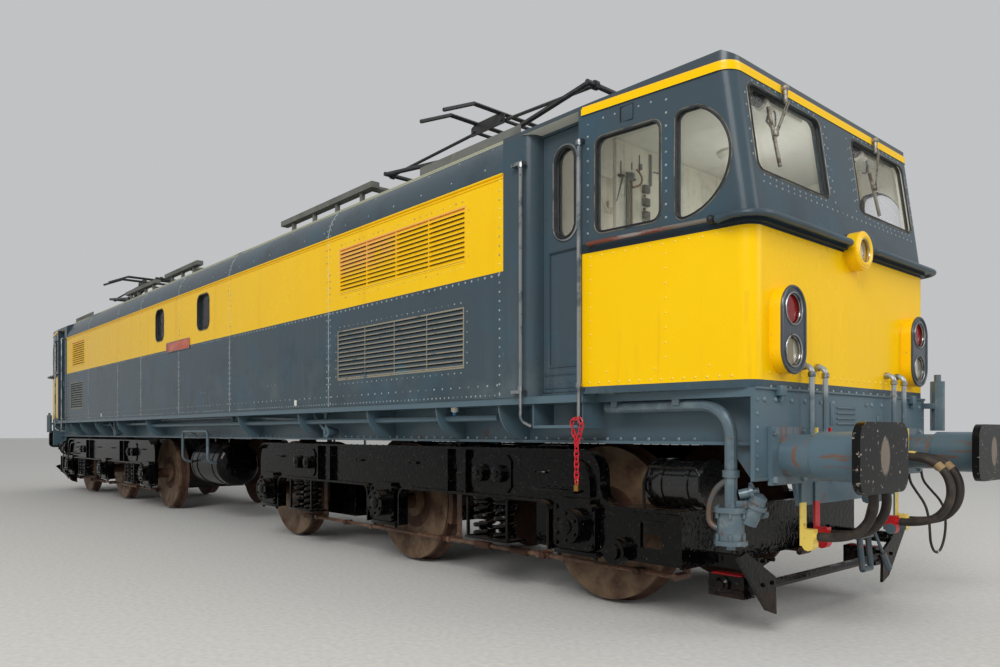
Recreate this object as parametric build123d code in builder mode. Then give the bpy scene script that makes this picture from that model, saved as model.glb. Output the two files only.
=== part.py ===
from build123d import *
from math import cos, radians, sin, sqrt, tan
import os

# Electric locomotive with a cab at each end and two bogies with three axles each.
# X runs along the locomotive towards cab 1, Z is up, and z is 0 at the tips of the wheel flanges.

os.makedirs("parts", exist_ok=True)

# Whole locomotive
HEADSTOCK_X = 8430  # outer face of each headstock, from the middle of the locomotive
BUFFER_FACE_X = 8992
BOGIE_CENTRE_X = 4623
AXLE_PITCH = 2413
FLANGE_HEIGHT = 28

# Wheelset
WHEEL_DIAMETER = 1092
WHEEL_BACK_Y = 680
TYRE_WIDTH = 140
FLANGE_WIDTH = 32
TYRE_THICKNESS = 80
WEB_DISH = 45
HUB_RADIUS = 150
AXLE_RADIUS = 95
JOURNAL_RADIUS = 75
JOURNAL_END_Y = 1200
JOURNAL_CLEARANCE = 0.8
AXLE_Z = FLANGE_HEIGHT + WHEEL_DIAMETER / 2
WHEEL_RADIUS = WHEEL_DIAMETER / 2
TYRE_OUTER_Y = WHEEL_BACK_Y + TYRE_WIDTH

# Body sides and roof
BODY_END_X = 6510  # where the long sides stop and the doorways begin
BODY_HALF_WIDTH = 1345
BODY_BOTTOM_Z = 1466
WALL = 60
CANT_Z = 3080  # where the side starts to curve inwards
CANT_RADIUS = 420
CANT_ANGLE = 49
ROOF_TOP_Z = 3620
ROOF_SKIN = 40

# Cab
CAB_REAR_X = 7280
CAB_FRONT_X = HEADSTOCK_X
CAB_FRONT_HALF_WIDTH = 1210
CAB_CORNER_RADIUS = 100
WAIST_Z = 2400
CAB_TOP_Z = 3310
CAB_RAKE = 130  # how far the top of the windscreens stands behind the waist
CAB_WALL = 60

# Doorway and door
DOOR_FRAME_INNER_Y = 1165
RECESS_X = (6790, 7250)
RECESS_Y = 1230
PILLAR_RADIUS = 110
DOORWAY_X = (6796, 7240)
DOORWAY_Z = (1490, 3290)
DOOR_X = (6805, 7232)
DOOR_OUTER_Y = 1225
DOOR_THICKNESS = 45
DOOR_CLEARANCE = 5
DOOR_PIN_INSET = 8
DOOR_PIN_RADIUS = 7
DOOR_PIN_LENGTH = 12
SEAT_GAP = 0.3

# Middle headlamp
HEADLAMP_Z = 2390
HEADLAMP_RADIUS = 125

# Underframe
FLOOR_PLATE = 50
FLOOR_HALF_WIDTH = 1335
FLOOR_BOTTOM_Z = BODY_BOTTOM_Z - FLOOR_PLATE
SOLEBAR_Y = 1000
SOLEBAR_BOTTOM_Z = 1142
SOLEBAR_WEB = 20
SOLEBAR_LIP = 60
OUTRIGGER = 14
OUTRIGGER_Y = 1310
HEADSTOCK_PLATE = 25
HEADSTOCK_HALF_WIDTH = 1200
HEADSTOCK_BOTTOM_Z = 945
DRAG_BOX_HALF_WIDTH = 760
DRAG_BOX_BOTTOM_Z = 780
PIVOT_RADIUS = 120
PIVOT_SEAT_Z = 1190
PIVOT_DEPTH = 80
PIVOT_CLEARANCE = 1

# Buffers
BUFFER_Y = 870
BUFFER_Z = 1083
BUFFER_HEAD = (600, 375, 42)  # width, height, thickness

# Bogie frame, in heights of the whole locomotive
FRAME_TOP_Z = 1100
FRAME_ARCH_Z = 715
FRAME_DECK_Z = 735
FRAME_FOOT_Z = 385
FRAME_Y = 1085
FRAME_WEB = 30
FRAME_END = 3300

# Pantograph
PANTOGRAPH_X = 5150
PANTOGRAPH_PIVOT_Z = 3835
PANTOGRAPH_PIVOT_SPREAD = 200
PANTOGRAPH_ARM = 1250
PANTOGRAPH_REST_ANGLE = 6.2


def cant_point(radius, angle, side):
    """A point of the rounded edge between a body side and the roof, as (y, z)."""
    centre_y = BODY_HALF_WIDTH - CANT_RADIUS
    return (side * (centre_y + radius * cos(radians(angle))), CANT_Z + radius * sin(radians(angle)))


def arc_height(span, rise, y):
    """Height at y of an arc that rises by rise over the half chord span."""
    radius = (span ** 2 + rise ** 2) / (2 * rise)
    return sqrt(radius ** 2 - y ** 2) - (radius - rise)


ROOF_EDGE_Y, ROOF_EDGE_Z = cant_point(CANT_RADIUS, CANT_ANGLE, 1)


def roof_z(y):
    """Height of the outside of the roof at y."""
    return ROOF_EDGE_Z + arc_height(ROOF_EDGE_Y, ROOF_TOP_Z - ROOF_EDGE_Z, y)


def bar(start, end, radius, sides=6):
    """A straight bar from start to end with the given number of sides, or round when sides is 0."""
    start, end = Vector(*start), Vector(*end)
    with BuildPart() as rod:
        with BuildSketch(Plane(origin=start, z_dir=end - start)):
            if sides:
                RegularPolygon(radius, sides)
            else:
                Circle(radius)
        extrude(amount=(end - start).length)
    return rod.part


# Underframe: floor plate, two solebars, cross members, pivots and headstocks
CROSS_MEMBERS = (-7600, -5900, -3350, -1500, 0, 1500, 3350, 5900, 7600)  # X of each
OUTRIGGERS = (1720, 3250, 4600, 5650, 6420)  # X of the curved brackets beside the solebar
CROSS_MEMBER = 80
CENTRE_GIRDER = 300
BOLSTER = 600
SIDE_MAIN = (-1900, 6300, 1205, 1328, 26)  # long air pipe through the brackets: X from, X to, Y, Z, radius

with BuildPart() as outrigger:
    with BuildSketch(Plane.YZ):
        with BuildLine():
            edge = Line((SOLEBAR_Y, FLOOR_BOTTOM_Z), (OUTRIGGER_Y, FLOOR_BOTTOM_Z))
            ThreePointArc(
                edge @ 1, (OUTRIGGER_Y - 70, 1240), (SOLEBAR_Y + 40, SOLEBAR_BOTTOM_Z + SOLEBAR_WEB)
            )
            Polyline(
                (SOLEBAR_Y + 40, SOLEBAR_BOTTOM_Z + SOLEBAR_WEB), (SOLEBAR_Y, SOLEBAR_BOTTOM_Z + SOLEBAR_WEB),
                edge @ 0,
            )
        make_face()
    extrude(amount=OUTRIGGER / 2, both=True)
    mirror(about=Plane.XZ)

# Footsteps below the cab doors, each a tread between two hangers
STEP = (480, 200, 20)  # length, width, thickness
STEP_Z = 1256
STEP_X = 7020
STEP_HANGER = 12

with BuildPart() as footstep:
    with Locations((STEP_X, -OUTRIGGER_Y + STEP[1] / 2, STEP_Z)):
        Box(*STEP)
    with Locations(*((x, -OUTRIGGER_Y, STEP_Z) for x in (STEP_X - STEP[0] / 2, STEP_X + STEP[0] / 2 - STEP_HANGER))):
        Box(STEP_HANGER, STEP[1], FLOOR_BOTTOM_Z - STEP_Z, align=(Align.MIN, Align.MIN, Align.MIN))
    mirror(about=Plane.XZ)

with BuildPart() as underframe:
    with BuildSketch(Plane.XY.offset(FLOOR_BOTTOM_Z)):
        Rectangle(2 * (HEADSTOCK_X - HEADSTOCK_PLATE), 2 * HEADSTOCK_HALF_WIDTH)
        Rectangle(2 * CAB_REAR_X, 2 * FLOOR_HALF_WIDTH)
    extrude(amount=FLOOR_PLATE)
    for side in (-1, 1):
        with BuildSketch(Plane.YZ.offset(-HEADSTOCK_X + HEADSTOCK_PLATE)):
            with BuildLine():
                Polyline(
                    (side * (SOLEBAR_Y - SOLEBAR_WEB), FLOOR_BOTTOM_Z),
                    (side * (SOLEBAR_Y - SOLEBAR_WEB), SOLEBAR_BOTTOM_Z),
                    (side * (SOLEBAR_Y + SOLEBAR_LIP), SOLEBAR_BOTTOM_Z),
                    (side * (SOLEBAR_Y + SOLEBAR_LIP), SOLEBAR_BOTTOM_Z + SOLEBAR_WEB),
                    (side * SOLEBAR_Y, SOLEBAR_BOTTOM_Z + SOLEBAR_WEB),
                    (side * SOLEBAR_Y, FLOOR_BOTTOM_Z),
                    close=True,
                )
            make_face()
        extrude(amount=2 * (HEADSTOCK_X - HEADSTOCK_PLATE))
    with Locations(*((x, 0, (FLOOR_BOTTOM_Z + PIVOT_SEAT_Z) / 2) for x in CROSS_MEMBERS)):
        Box(CROSS_MEMBER, 2 * SOLEBAR_Y - SOLEBAR_WEB, FLOOR_BOTTOM_Z - PIVOT_SEAT_Z)
    with Locations((0, 0, (FLOOR_BOTTOM_Z + PIVOT_SEAT_Z) / 2)):
        Box(2 * CROSS_MEMBERS[-1], CENTRE_GIRDER, FLOOR_BOTTOM_Z - PIVOT_SEAT_Z)
    for end in (-1, 1):
        with Locations((end * BOGIE_CENTRE_X, 0, FLOOR_BOTTOM_Z)):
            Box(BOLSTER, 2 * SOLEBAR_Y - SOLEBAR_WEB, FLOOR_BOTTOM_Z - PIVOT_SEAT_Z - SEAT_GAP,
                align=(Align.CENTER, Align.CENTER, Align.MAX))
        with Locations((end * BOGIE_CENTRE_X, 0, PIVOT_SEAT_Z + SEAT_GAP)):
            Cylinder(PIVOT_RADIUS, PIVOT_DEPTH, align=(Align.CENTER, Align.CENTER, Align.MAX))
        # Headstock plate, with the deeper drag box in its middle
        with BuildSketch(Plane.YZ.offset(end * (HEADSTOCK_X - HEADSTOCK_PLATE))):
            with BuildLine():
                Polyline(
                    (-HEADSTOCK_HALF_WIDTH, BODY_BOTTOM_Z),
                    (-HEADSTOCK_HALF_WIDTH, HEADSTOCK_BOTTOM_Z),
                    (-DRAG_BOX_HALF_WIDTH, HEADSTOCK_BOTTOM_Z),
                    (-DRAG_BOX_HALF_WIDTH + 60, DRAG_BOX_BOTTOM_Z),
                    (DRAG_BOX_HALF_WIDTH - 60, DRAG_BOX_BOTTOM_Z),
                    (DRAG_BOX_HALF_WIDTH, HEADSTOCK_BOTTOM_Z),
                    (HEADSTOCK_HALF_WIDTH, HEADSTOCK_BOTTOM_Z),
                    (HEADSTOCK_HALF_WIDTH, BODY_BOTTOM_Z),
                    close=True,
                )
            make_face()
        extrude(amount=end * HEADSTOCK_PLATE)
        # Deeper end of each solebar, cut away in a slant behind the headstock
        for side in (-1, 1):
            with BuildSketch(Plane.XZ.offset(-side * SOLEBAR_Y)):
                with BuildLine():
                    Polyline(
                        (end * 8130, SOLEBAR_BOTTOM_Z + SOLEBAR_WEB / 2),
                        (end * 8290, HEADSTOCK_BOTTOM_Z),
                        (end * (HEADSTOCK_X - HEADSTOCK_PLATE), HEADSTOCK_BOTTOM_Z),
                        (end * (HEADSTOCK_X - HEADSTOCK_PLATE), SOLEBAR_BOTTOM_Z + SOLEBAR_WEB / 2),
                        close=True,
                    )
                make_face()
            extrude(amount=side * SOLEBAR_WEB)
    # Outriggers that carry the edge of the floor
    with Locations(*((end * x, 0, 0) for x in OUTRIGGERS for end in (-1, 1))):
        add(outrigger.part)
    for turn in (0, 180):
        add(footstep.part, rotation=(0, 0, turn))
        start, end, y, z, radius = SIDE_MAIN
        add(bar((start, -y, z), (end, -y, z), radius, 8), rotation=(0, 0, turn))
underframe.part.label = "underframe"
export_step(underframe.part, "parts/underframe.step")

# Body sides: the right one is the side with the louvres towards cab 1, and the left one is the same turned round
ENGINE_WINDOWS = ((-970, 2770, 360, 460), (710, 2770, 420, 460))  # X, Z, width, height
ENGINE_WINDOW_CORNER = 110
# Louvre panels: X, Z, width, height, slats, columns
LOUVRES = (
    (5125, 2737, 1910, 435, 11, 4),
    (5100, 1945, 1920, 470, 11, 4),
    (-5625, 2722, 910, 475, 11, 1),
    (-5745, 1925, 910, 510, 11, 1),
)
LOUVRE_POCKET = 35


with BuildPart() as side_wall_right:
    # Section from the floor to the edge of the roof
    with BuildSketch(Plane.YZ.offset(-BODY_END_X)):
        inner_radius = CANT_RADIUS - WALL
        with BuildLine():
            Line((-BODY_HALF_WIDTH, BODY_BOTTOM_Z), (-BODY_HALF_WIDTH, CANT_Z))
            ThreePointArc(*(cant_point(CANT_RADIUS, angle, -1) for angle in (0, CANT_ANGLE / 2, CANT_ANGLE)))
            Line(cant_point(CANT_RADIUS, CANT_ANGLE, -1), cant_point(inner_radius, CANT_ANGLE, -1))
            ThreePointArc(*(cant_point(inner_radius, angle, -1) for angle in (CANT_ANGLE, CANT_ANGLE / 2, 0)))
            Line((-BODY_HALF_WIDTH + WALL, CANT_Z), (-BODY_HALF_WIDTH + WALL, BODY_BOTTOM_Z))
            Line((-BODY_HALF_WIDTH + WALL, BODY_BOTTOM_Z), (-BODY_HALF_WIDTH, BODY_BOTTOM_Z))
        make_face()
    extrude(amount=2 * BODY_END_X)
    with BuildSketch(Plane.XZ.offset(BODY_HALF_WIDTH)):
        for x, z, width, height in ENGINE_WINDOWS:
            with Locations((x, z)):
                RectangleRounded(width, height, ENGINE_WINDOW_CORNER)
    extrude(amount=-WALL, mode=Mode.SUBTRACT)
    with BuildSketch(Plane.XZ.offset(BODY_HALF_WIDTH)):
        for x, z, width, height, slats, columns in LOUVRES:
            with Locations((x, z)):
                Rectangle(width, height)
    extrude(amount=-LOUVRE_POCKET, mode=Mode.SUBTRACT)
side_wall_right.part.label = "side_wall_right"
export_step(side_wall_right.part, "parts/side_wall_right.step")

with BuildPart() as side_wall_left:
    add(side_wall_right.part, rotation=(0, 0, 180))
side_wall_left.part.label = "side_wall_left"
export_step(side_wall_left.part, "parts/side_wall_left.step")

# Louvre panels, each a thin frame with steep slats in a pocket of the body side
LOUVRE_FRAME = 12
LOUVRE_PROUD = 3
LOUVRE_STAY = 8
SLAT_THICKNESS = 5
SLAT_DEPTH = 22
SLAT_RISE = 3  # keeps the lowest slat off the frame and sets the highest into it

with BuildPart() as louvres:
    for x, z, width, height, slats, columns in LOUVRES:
        face_y = -BODY_HALF_WIDTH - LOUVRE_PROUD
        back_y = -BODY_HALF_WIDTH + LOUVRE_POCKET
        slat_y = face_y + SLAT_DEPTH
        inner_width = width - 2 * LOUVRE_FRAME
        inner_height = height - 2 * LOUVRE_FRAME
        with BuildSketch(Plane.XZ.offset(-back_y)):
            with Locations((x, z)):
                Rectangle(width, height)
                Rectangle(inner_width, inner_height, mode=Mode.SUBTRACT)
        extrude(amount=back_y - face_y)
        pitch = inner_height / slats
        for row in range(slats):
            bottom = z - inner_height / 2 + row * pitch + SLAT_RISE
            with BuildSketch(Plane.YZ.offset(x - inner_width / 2 - LOUVRE_FRAME / 2)):
                with BuildLine():
                    Polyline(
                        (face_y + 1, bottom),
                        (face_y + 1, bottom + SLAT_THICKNESS),
                        (slat_y, bottom + pitch),
                        (slat_y, bottom + pitch - SLAT_THICKNESS),
                        close=True,
                    )
                make_face()
            extrude(amount=inner_width + LOUVRE_FRAME)
        # Upright stays behind the front edges of the slats
        for column in range(1, columns):
            with Locations((x - inner_width / 2 + column * inner_width / columns, back_y, z)):
                Box(LOUVRE_STAY, back_y - face_y - 2, inner_height + LOUVRE_FRAME,
                    align=(Align.CENTER, Align.MAX, Align.CENTER))
    add(louvres.part, rotation=(0, 0, 180))
louvres.part.label = "louvres"
export_step(louvres.part, "parts/louvres.step")

# Roof between the cabs
WELL_PLATE_X = (5250, BODY_END_X)
WELL_PLATE_Y = 1175
WELL_PLATE = 14
WELL_PLATE_Z = (3390, 3490)

with BuildPart() as roof_centre:
    with BuildSketch(Plane.YZ.offset(-BODY_END_X)):
        skin_right = cant_point(CANT_RADIUS - ROOF_SKIN, CANT_ANGLE, -1)
        skin_left = cant_point(CANT_RADIUS - ROOF_SKIN, CANT_ANGLE, 1)
        with BuildLine():
            ThreePointArc((-ROOF_EDGE_Y, ROOF_EDGE_Z), (0, ROOF_TOP_Z), (ROOF_EDGE_Y, ROOF_EDGE_Z))
            Line((ROOF_EDGE_Y, ROOF_EDGE_Z), skin_left)
            ThreePointArc(skin_left, (0, ROOF_TOP_Z - ROOF_SKIN), skin_right)
            Line(skin_right, (-ROOF_EDGE_Y, ROOF_EDGE_Z))
        make_face()
    extrude(amount=2 * BODY_END_X)
    # Upright plates beside the pantographs
    with Locations(*((end * sum(WELL_PLATE_X) / 2, side * WELL_PLATE_Y, WELL_PLATE_Z[0])
                     for end in (-1, 1) for side in (-1, 1))):
        Box(WELL_PLATE_X[1] - WELL_PLATE_X[0], WELL_PLATE, WELL_PLATE_Z[1] - WELL_PLATE_Z[0],
            align=(Align.CENTER, Align.CENTER, Align.MIN))
roof_centre.part.label = "roof_centre"
export_step(roof_centre.part, "parts/roof_centre.step")

# Gear on the roof: cable ducts on feet beside the middle, with a cross pipe
DUCT = (90, 60)  # width, height
DUCT_Z = 3655
DUCT_FOOT = 40
DUCT_PITCH = 450
DUCTS = ((2100, 4100, 900), (-2000, -600, 900), (-4050, -2450, 900))  # X from, X to, Y
CROSS_PIPE_RADIUS = 35
CROSS_PIPES = (3980, -1100)

with BuildPart() as roof_gear:
    for start, end, y in DUCTS:
        for side in (-1, 1):
            with Locations(((start + end) / 2, side * y, DUCT_Z)):
                Box(end - start, *DUCT, align=(Align.CENTER, Align.CENTER, Align.MIN))
            foot_z = roof_z(y - DUCT_FOOT / 2) + SEAT_GAP
            count = round((end - start) / DUCT_PITCH)
            feet = [start + (end - start) * (i + 0.5) / count for i in range(count)]
            with Locations(*((x, side * y, foot_z) for x in feet)):
                Box(DUCT_FOOT, DUCT_FOOT, DUCT_Z - foot_z, align=(Align.CENTER, Align.CENTER, Align.MIN))
    for x in CROSS_PIPES:
        z = DUCT_Z + DUCT[1] / 2
        add(bar((x, -DUCTS[0][2], z), (x, DUCTS[0][2], z), CROSS_PIPE_RADIUS, 8))
roof_gear.part.label = "roof_gear"
export_step(roof_gear.part, "parts/roof_gear.step")


def cab_half_width(x):
    """Half the outside width of the cab at x, which tapers towards the front."""
    taper = (BODY_HALF_WIDTH - CAB_FRONT_HALF_WIDTH) / (CAB_FRONT_X - CAB_REAR_X)
    return BODY_HALF_WIDTH - taper * (x - CAB_REAR_X)


def cab_plan(z, front_x, inset, corner):
    """The plan of the cab at height z as a sketch, moved in by inset at the sides and front."""
    front = front_x - inset
    rear_half = cab_half_width(CAB_REAR_X) - inset
    front_half = cab_half_width(front) - inset
    with BuildSketch(Plane.XY.offset(z)) as plan:
        with BuildLine():
            Polyline(
                (CAB_REAR_X, -rear_half), (front, -front_half), (front, front_half), (CAB_REAR_X, rear_half),
                close=True,
            )
        make_face()
        fillet(plan.vertices().group_by(Axis.X)[-1], corner)
    return plan.sketch


def cab_block(inset, corner):
    """The closed form of cab 1 moved in by inset: upright to the waist, then raked back in front."""
    with BuildPart() as block:
        extrude(cab_plan(BODY_BOTTOM_Z, CAB_FRONT_X, inset, corner), amount=WAIST_Z - BODY_BOTTOM_Z)
        loft(
            (cab_plan(WAIST_Z, CAB_FRONT_X, inset, corner), cab_plan(CAB_TOP_Z, CAB_FRONT_X - CAB_RAKE, inset, corner)),
            ruled=True,
        )
    return block.part


# Cab windows as seen from the side: a rear light with square corners and a rounded quarter light
REAR_LIGHT = (7615, 2795, 470, 610, 60)  # X, Z, width, height, corner radius
QUARTER_LIGHT_X = 7950
QUARTER_LIGHT_Z = (2470, 3110)
QUARTER_LIGHT_NOSE = (8290, 2760)
WINDSCREEN_Y = (220, 1090)
WINDSCREEN_Z = (2700, 3225)
WINDSCREEN_CORNER = 60
GLASS = 8
GLASS_INSET = 26


def side_lights(clearance):
    """The two side windows of cab 1, right through the cab, each smaller all round by clearance."""
    x, z, width, height, corner = REAR_LIGHT
    low, high = QUARTER_LIGHT_Z
    rear_bottom = (QUARTER_LIGHT_X + clearance, low + 50)
    rear_top = (QUARTER_LIGHT_X + clearance, high - 40)
    top_start = (QUARTER_LIGHT_X + 55, high - clearance)
    top_end = (QUARTER_LIGHT_X + 140, high - clearance)
    bottom = (QUARTER_LIGHT_X + 60, low + clearance)
    nose = (QUARTER_LIGHT_NOSE[0] - clearance, QUARTER_LIGHT_NOSE[1])
    with BuildPart() as lights:
        with BuildSketch(Plane.XZ):
            with Locations((x, z)):
                RectangleRounded(width - 2 * clearance, height - 2 * clearance, corner)
            with BuildLine():
                Line(rear_bottom, rear_top)
                ThreePointArc(rear_top, (QUARTER_LIGHT_X + 18 + clearance, high - 12 - clearance), top_start)
                Line(top_start, top_end)
                ThreePointArc(top_end, nose, bottom)
                ThreePointArc(bottom, (QUARTER_LIGHT_X + 15 + clearance, low + 15 + clearance), rear_bottom)
            make_face()
        extrude(amount=BODY_HALF_WIDTH, both=True)
    return lights.part


def windscreens(clearance):
    """The two windscreens of cab 1, through its front, each smaller all round by clearance."""
    inner, outer = WINDSCREEN_Y
    low, high = WINDSCREEN_Z
    with BuildPart() as screens:
        with BuildSketch(Plane.YZ.offset(CAB_FRONT_X - CAB_RAKE - 2 * CAB_WALL)):
            with Locations(*((side * (inner + outer) / 2, (low + high) / 2) for side in (-1, 1))):
                RectangleRounded(outer - inner - 2 * clearance, high - low - 2 * clearance, WINDSCREEN_CORNER)
        extrude(amount=CAB_RAKE + 2 * CAB_WALL)
    return screens.part


# Cab 1: hollow, open at the rear, with its windows cut, a moulding round its waist and a strip below its roof
WAIST_MOULDING = (28, 2385, 2425)  # how far it stands out, Z from, Z to
ROOF_STRIP = (10, 3268, CAB_TOP_Z)
MOULDING_START_X = 8230


def cab_ring(stands_out, low, high, front_x, start_x):
    """A band round the cab from z low to high that stands out of its sides and front, from start_x forwards."""
    with BuildPart() as ring:
        extrude(cab_plan(low, front_x, -stands_out, CAB_CORNER_RADIUS + stands_out), amount=high - low)
        extrude(cab_plan(low, front_x, CAB_WALL / 2, CAB_CORNER_RADIUS), amount=high - low, mode=Mode.SUBTRACT)
        with Locations((start_x, 0, low)):
            Box(start_x, 4 * BODY_HALF_WIDTH, high - low, align=(Align.MAX, Align.CENTER, Align.MIN),
                mode=Mode.SUBTRACT)
    return ring.part


with BuildPart() as cab_shell_1:
    add(cab_block(0, CAB_CORNER_RADIUS))
    add(cab_ring(*WAIST_MOULDING, CAB_FRONT_X, MOULDING_START_X))
    add(cab_ring(*ROOF_STRIP, CAB_FRONT_X - CAB_RAKE, CAB_REAR_X + 1))
    # The moulding stops on each side of the middle headlamp
    with Locations((CAB_FRONT_X, 0, HEADLAMP_Z)):
        Box(100, 2 * (HEADLAMP_RADIUS + SEAT_GAP), 100, align=(Align.MIN, Align.CENTER, Align.CENTER),
            mode=Mode.SUBTRACT)
    add(cab_block(CAB_WALL, CAB_CORNER_RADIUS - CAB_WALL), mode=Mode.SUBTRACT)
    add(side_lights(0), mode=Mode.SUBTRACT)
    add(windscreens(0), mode=Mode.SUBTRACT)
cab_shell_1.part.label = "cab_shell_1"
export_step(cab_shell_1.part, "parts/cab_shell_1.step")

with BuildPart() as cab_shell_2:
    add(cab_shell_1.part, rotation=(0, 0, 180))
cab_shell_2.part.label = "cab_shell_2"
export_step(cab_shell_2.part, "parts/cab_shell_2.step")

# Glass of the cabs and of the small windows in the body sides
with BuildPart() as glass_skin:
    add(cab_block(GLASS_INSET, CAB_CORNER_RADIUS - GLASS_INSET))
    add(cab_block(GLASS_INSET + GLASS, CAB_CORNER_RADIUS - GLASS_INSET - GLASS), mode=Mode.SUBTRACT)

with BuildPart() as panes:
    add(side_lights(SEAT_GAP))
    add(windscreens(SEAT_GAP))
    add(glass_skin.part, mode=Mode.INTERSECT)

with BuildPart() as window_glass:
    for x, z, width, height in ENGINE_WINDOWS:
        with BuildSketch(Plane.XZ.offset(BODY_HALF_WIDTH - GLASS_INSET)):
            with Locations((x, z)):
                RectangleRounded(width - 2 * SEAT_GAP, height - 2 * SEAT_GAP, ENGINE_WINDOW_CORNER - SEAT_GAP)
        extrude(amount=-GLASS)
    add(panes.part)
    add(window_glass.part, rotation=(0, 0, 180))
window_glass.part.label = "window_glass"
export_step(window_glass.part, "parts/window_glass.step")

# Roofs of the two cabs, with a soft edge in front
CAB_ROOF_EDGE = 45
with BuildPart() as cab_roofs:
    with BuildSketch(Plane.XY.offset(CAB_TOP_Z)):
        with BuildLine():
            front = CAB_FRONT_X - CAB_RAKE
            half = cab_half_width(front)
            Polyline(
                (BODY_END_X, -BODY_HALF_WIDTH), (CAB_REAR_X, -BODY_HALF_WIDTH), (front, -half),
                (front, half), (CAB_REAR_X, BODY_HALF_WIDTH), (BODY_END_X, BODY_HALF_WIDTH), close=True,
            )
        plan = make_face()
        fillet(plan.vertices().group_by(Axis.X)[-1], CAB_CORNER_RADIUS)
    extrude(amount=ROOF_TOP_Z - CAB_TOP_Z)
    with BuildSketch(Plane.YZ.offset(BODY_END_X)):
        with BuildLine():
            edge_z = roof_z(BODY_HALF_WIDTH)
            ThreePointArc((-BODY_HALF_WIDTH, edge_z), (0, ROOF_TOP_Z), (BODY_HALF_WIDTH, edge_z))
            Polyline(
                (BODY_HALF_WIDTH, edge_z), (BODY_HALF_WIDTH, CAB_TOP_Z),
                (-BODY_HALF_WIDTH, CAB_TOP_Z), (-BODY_HALF_WIDTH, edge_z),
            )
        make_face()
    extrude(amount=CAB_FRONT_X - BODY_END_X, mode=Mode.INTERSECT)
    # The roof falls to the front in a slope
    with BuildSketch(Plane.XZ.offset(-BODY_HALF_WIDTH)):
        with BuildLine():
            Polyline(
                (CAB_FRONT_X - CAB_RAKE, CAB_TOP_Z + CAB_ROOF_EDGE),
                (CAB_FRONT_X - CAB_RAKE - 550, ROOF_TOP_Z),
                (CAB_FRONT_X - CAB_RAKE, ROOF_TOP_Z),
                close=True,
            )
        make_face()
    extrude(amount=2 * BODY_HALF_WIDTH, mode=Mode.SUBTRACT)
    add(cab_roofs.part, rotation=(0, 0, 180))
cab_roofs.part.label = "cab_roofs"
export_step(cab_roofs.part, "parts/cab_roofs.step")

# Doorways: a recess behind a rounded pillar, with the opening for the door
DOOR_PIN_X = DOOR_X[0] + DOOR_PIN_INSET
DOOR_PIN_Y = DOOR_OUTER_Y - DOOR_THICKNESS + DOOR_PIN_INSET

with BuildPart() as door_frame:
    with BuildSketch(Plane.XY.offset(BODY_BOTTOM_Z)):
        with BuildLine():
            Polyline(
                (BODY_END_X, -BODY_HALF_WIDTH), (RECESS_X[0], -BODY_HALF_WIDTH), (RECESS_X[0], -RECESS_Y),
                (RECESS_X[1], -RECESS_Y), (RECESS_X[1], -BODY_HALF_WIDTH), (CAB_REAR_X, -BODY_HALF_WIDTH),
                (CAB_REAR_X, -DOOR_FRAME_INNER_Y), (BODY_END_X, -DOOR_FRAME_INNER_Y), close=True,
            )
        outline = make_face()
        fillet(outline.vertices().group_by(Axis.Y)[0].sort_by(Axis.X)[1], PILLAR_RADIUS)
    extrude(amount=CAB_TOP_Z - BODY_BOTTOM_Z)
    with BuildSketch(Plane.XZ.offset(RECESS_Y)):
        with Locations((sum(DOORWAY_X) / 2, sum(DOORWAY_Z) / 2)):
            Rectangle(DOORWAY_X[1] - DOORWAY_X[0], DOORWAY_Z[1] - DOORWAY_Z[0])
    extrude(amount=-(RECESS_Y - DOOR_FRAME_INNER_Y), mode=Mode.SUBTRACT)
    for z, direction in ((DOORWAY_Z[0], -1), (DOORWAY_Z[1], 1)):
        with BuildSketch(Plane.XY.offset(z)):
            with Locations((DOOR_PIN_X, -DOOR_PIN_Y)):
                Circle(DOOR_PIN_RADIUS + SEAT_GAP)
        extrude(amount=direction * (DOOR_PIN_LENGTH - DOOR_CLEARANCE + SEAT_GAP), mode=Mode.SUBTRACT)

with BuildPart() as door_frames:
    add(door_frame.part)
    add(mirror(door_frame.part, about=Plane.XZ, mode=Mode.PRIVATE))
    add(door_frames.part, rotation=(0, 0, 180))
door_frames.part.label = "door_frames"
export_step(door_frames.part, "parts/door_frames.step")

# Cab doors: a leaf with a sunk panel below and a window above, turning on pins at its rear edge
DOOR_WINDOW = (6960, 2860, 190, 620, 90)  # X, Z, width, height, corner radius
DOOR_PANEL = (7018, 2070, 300, 780)  # X, Z, width, height
DOOR_PANEL_DEPTH = 10

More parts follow.
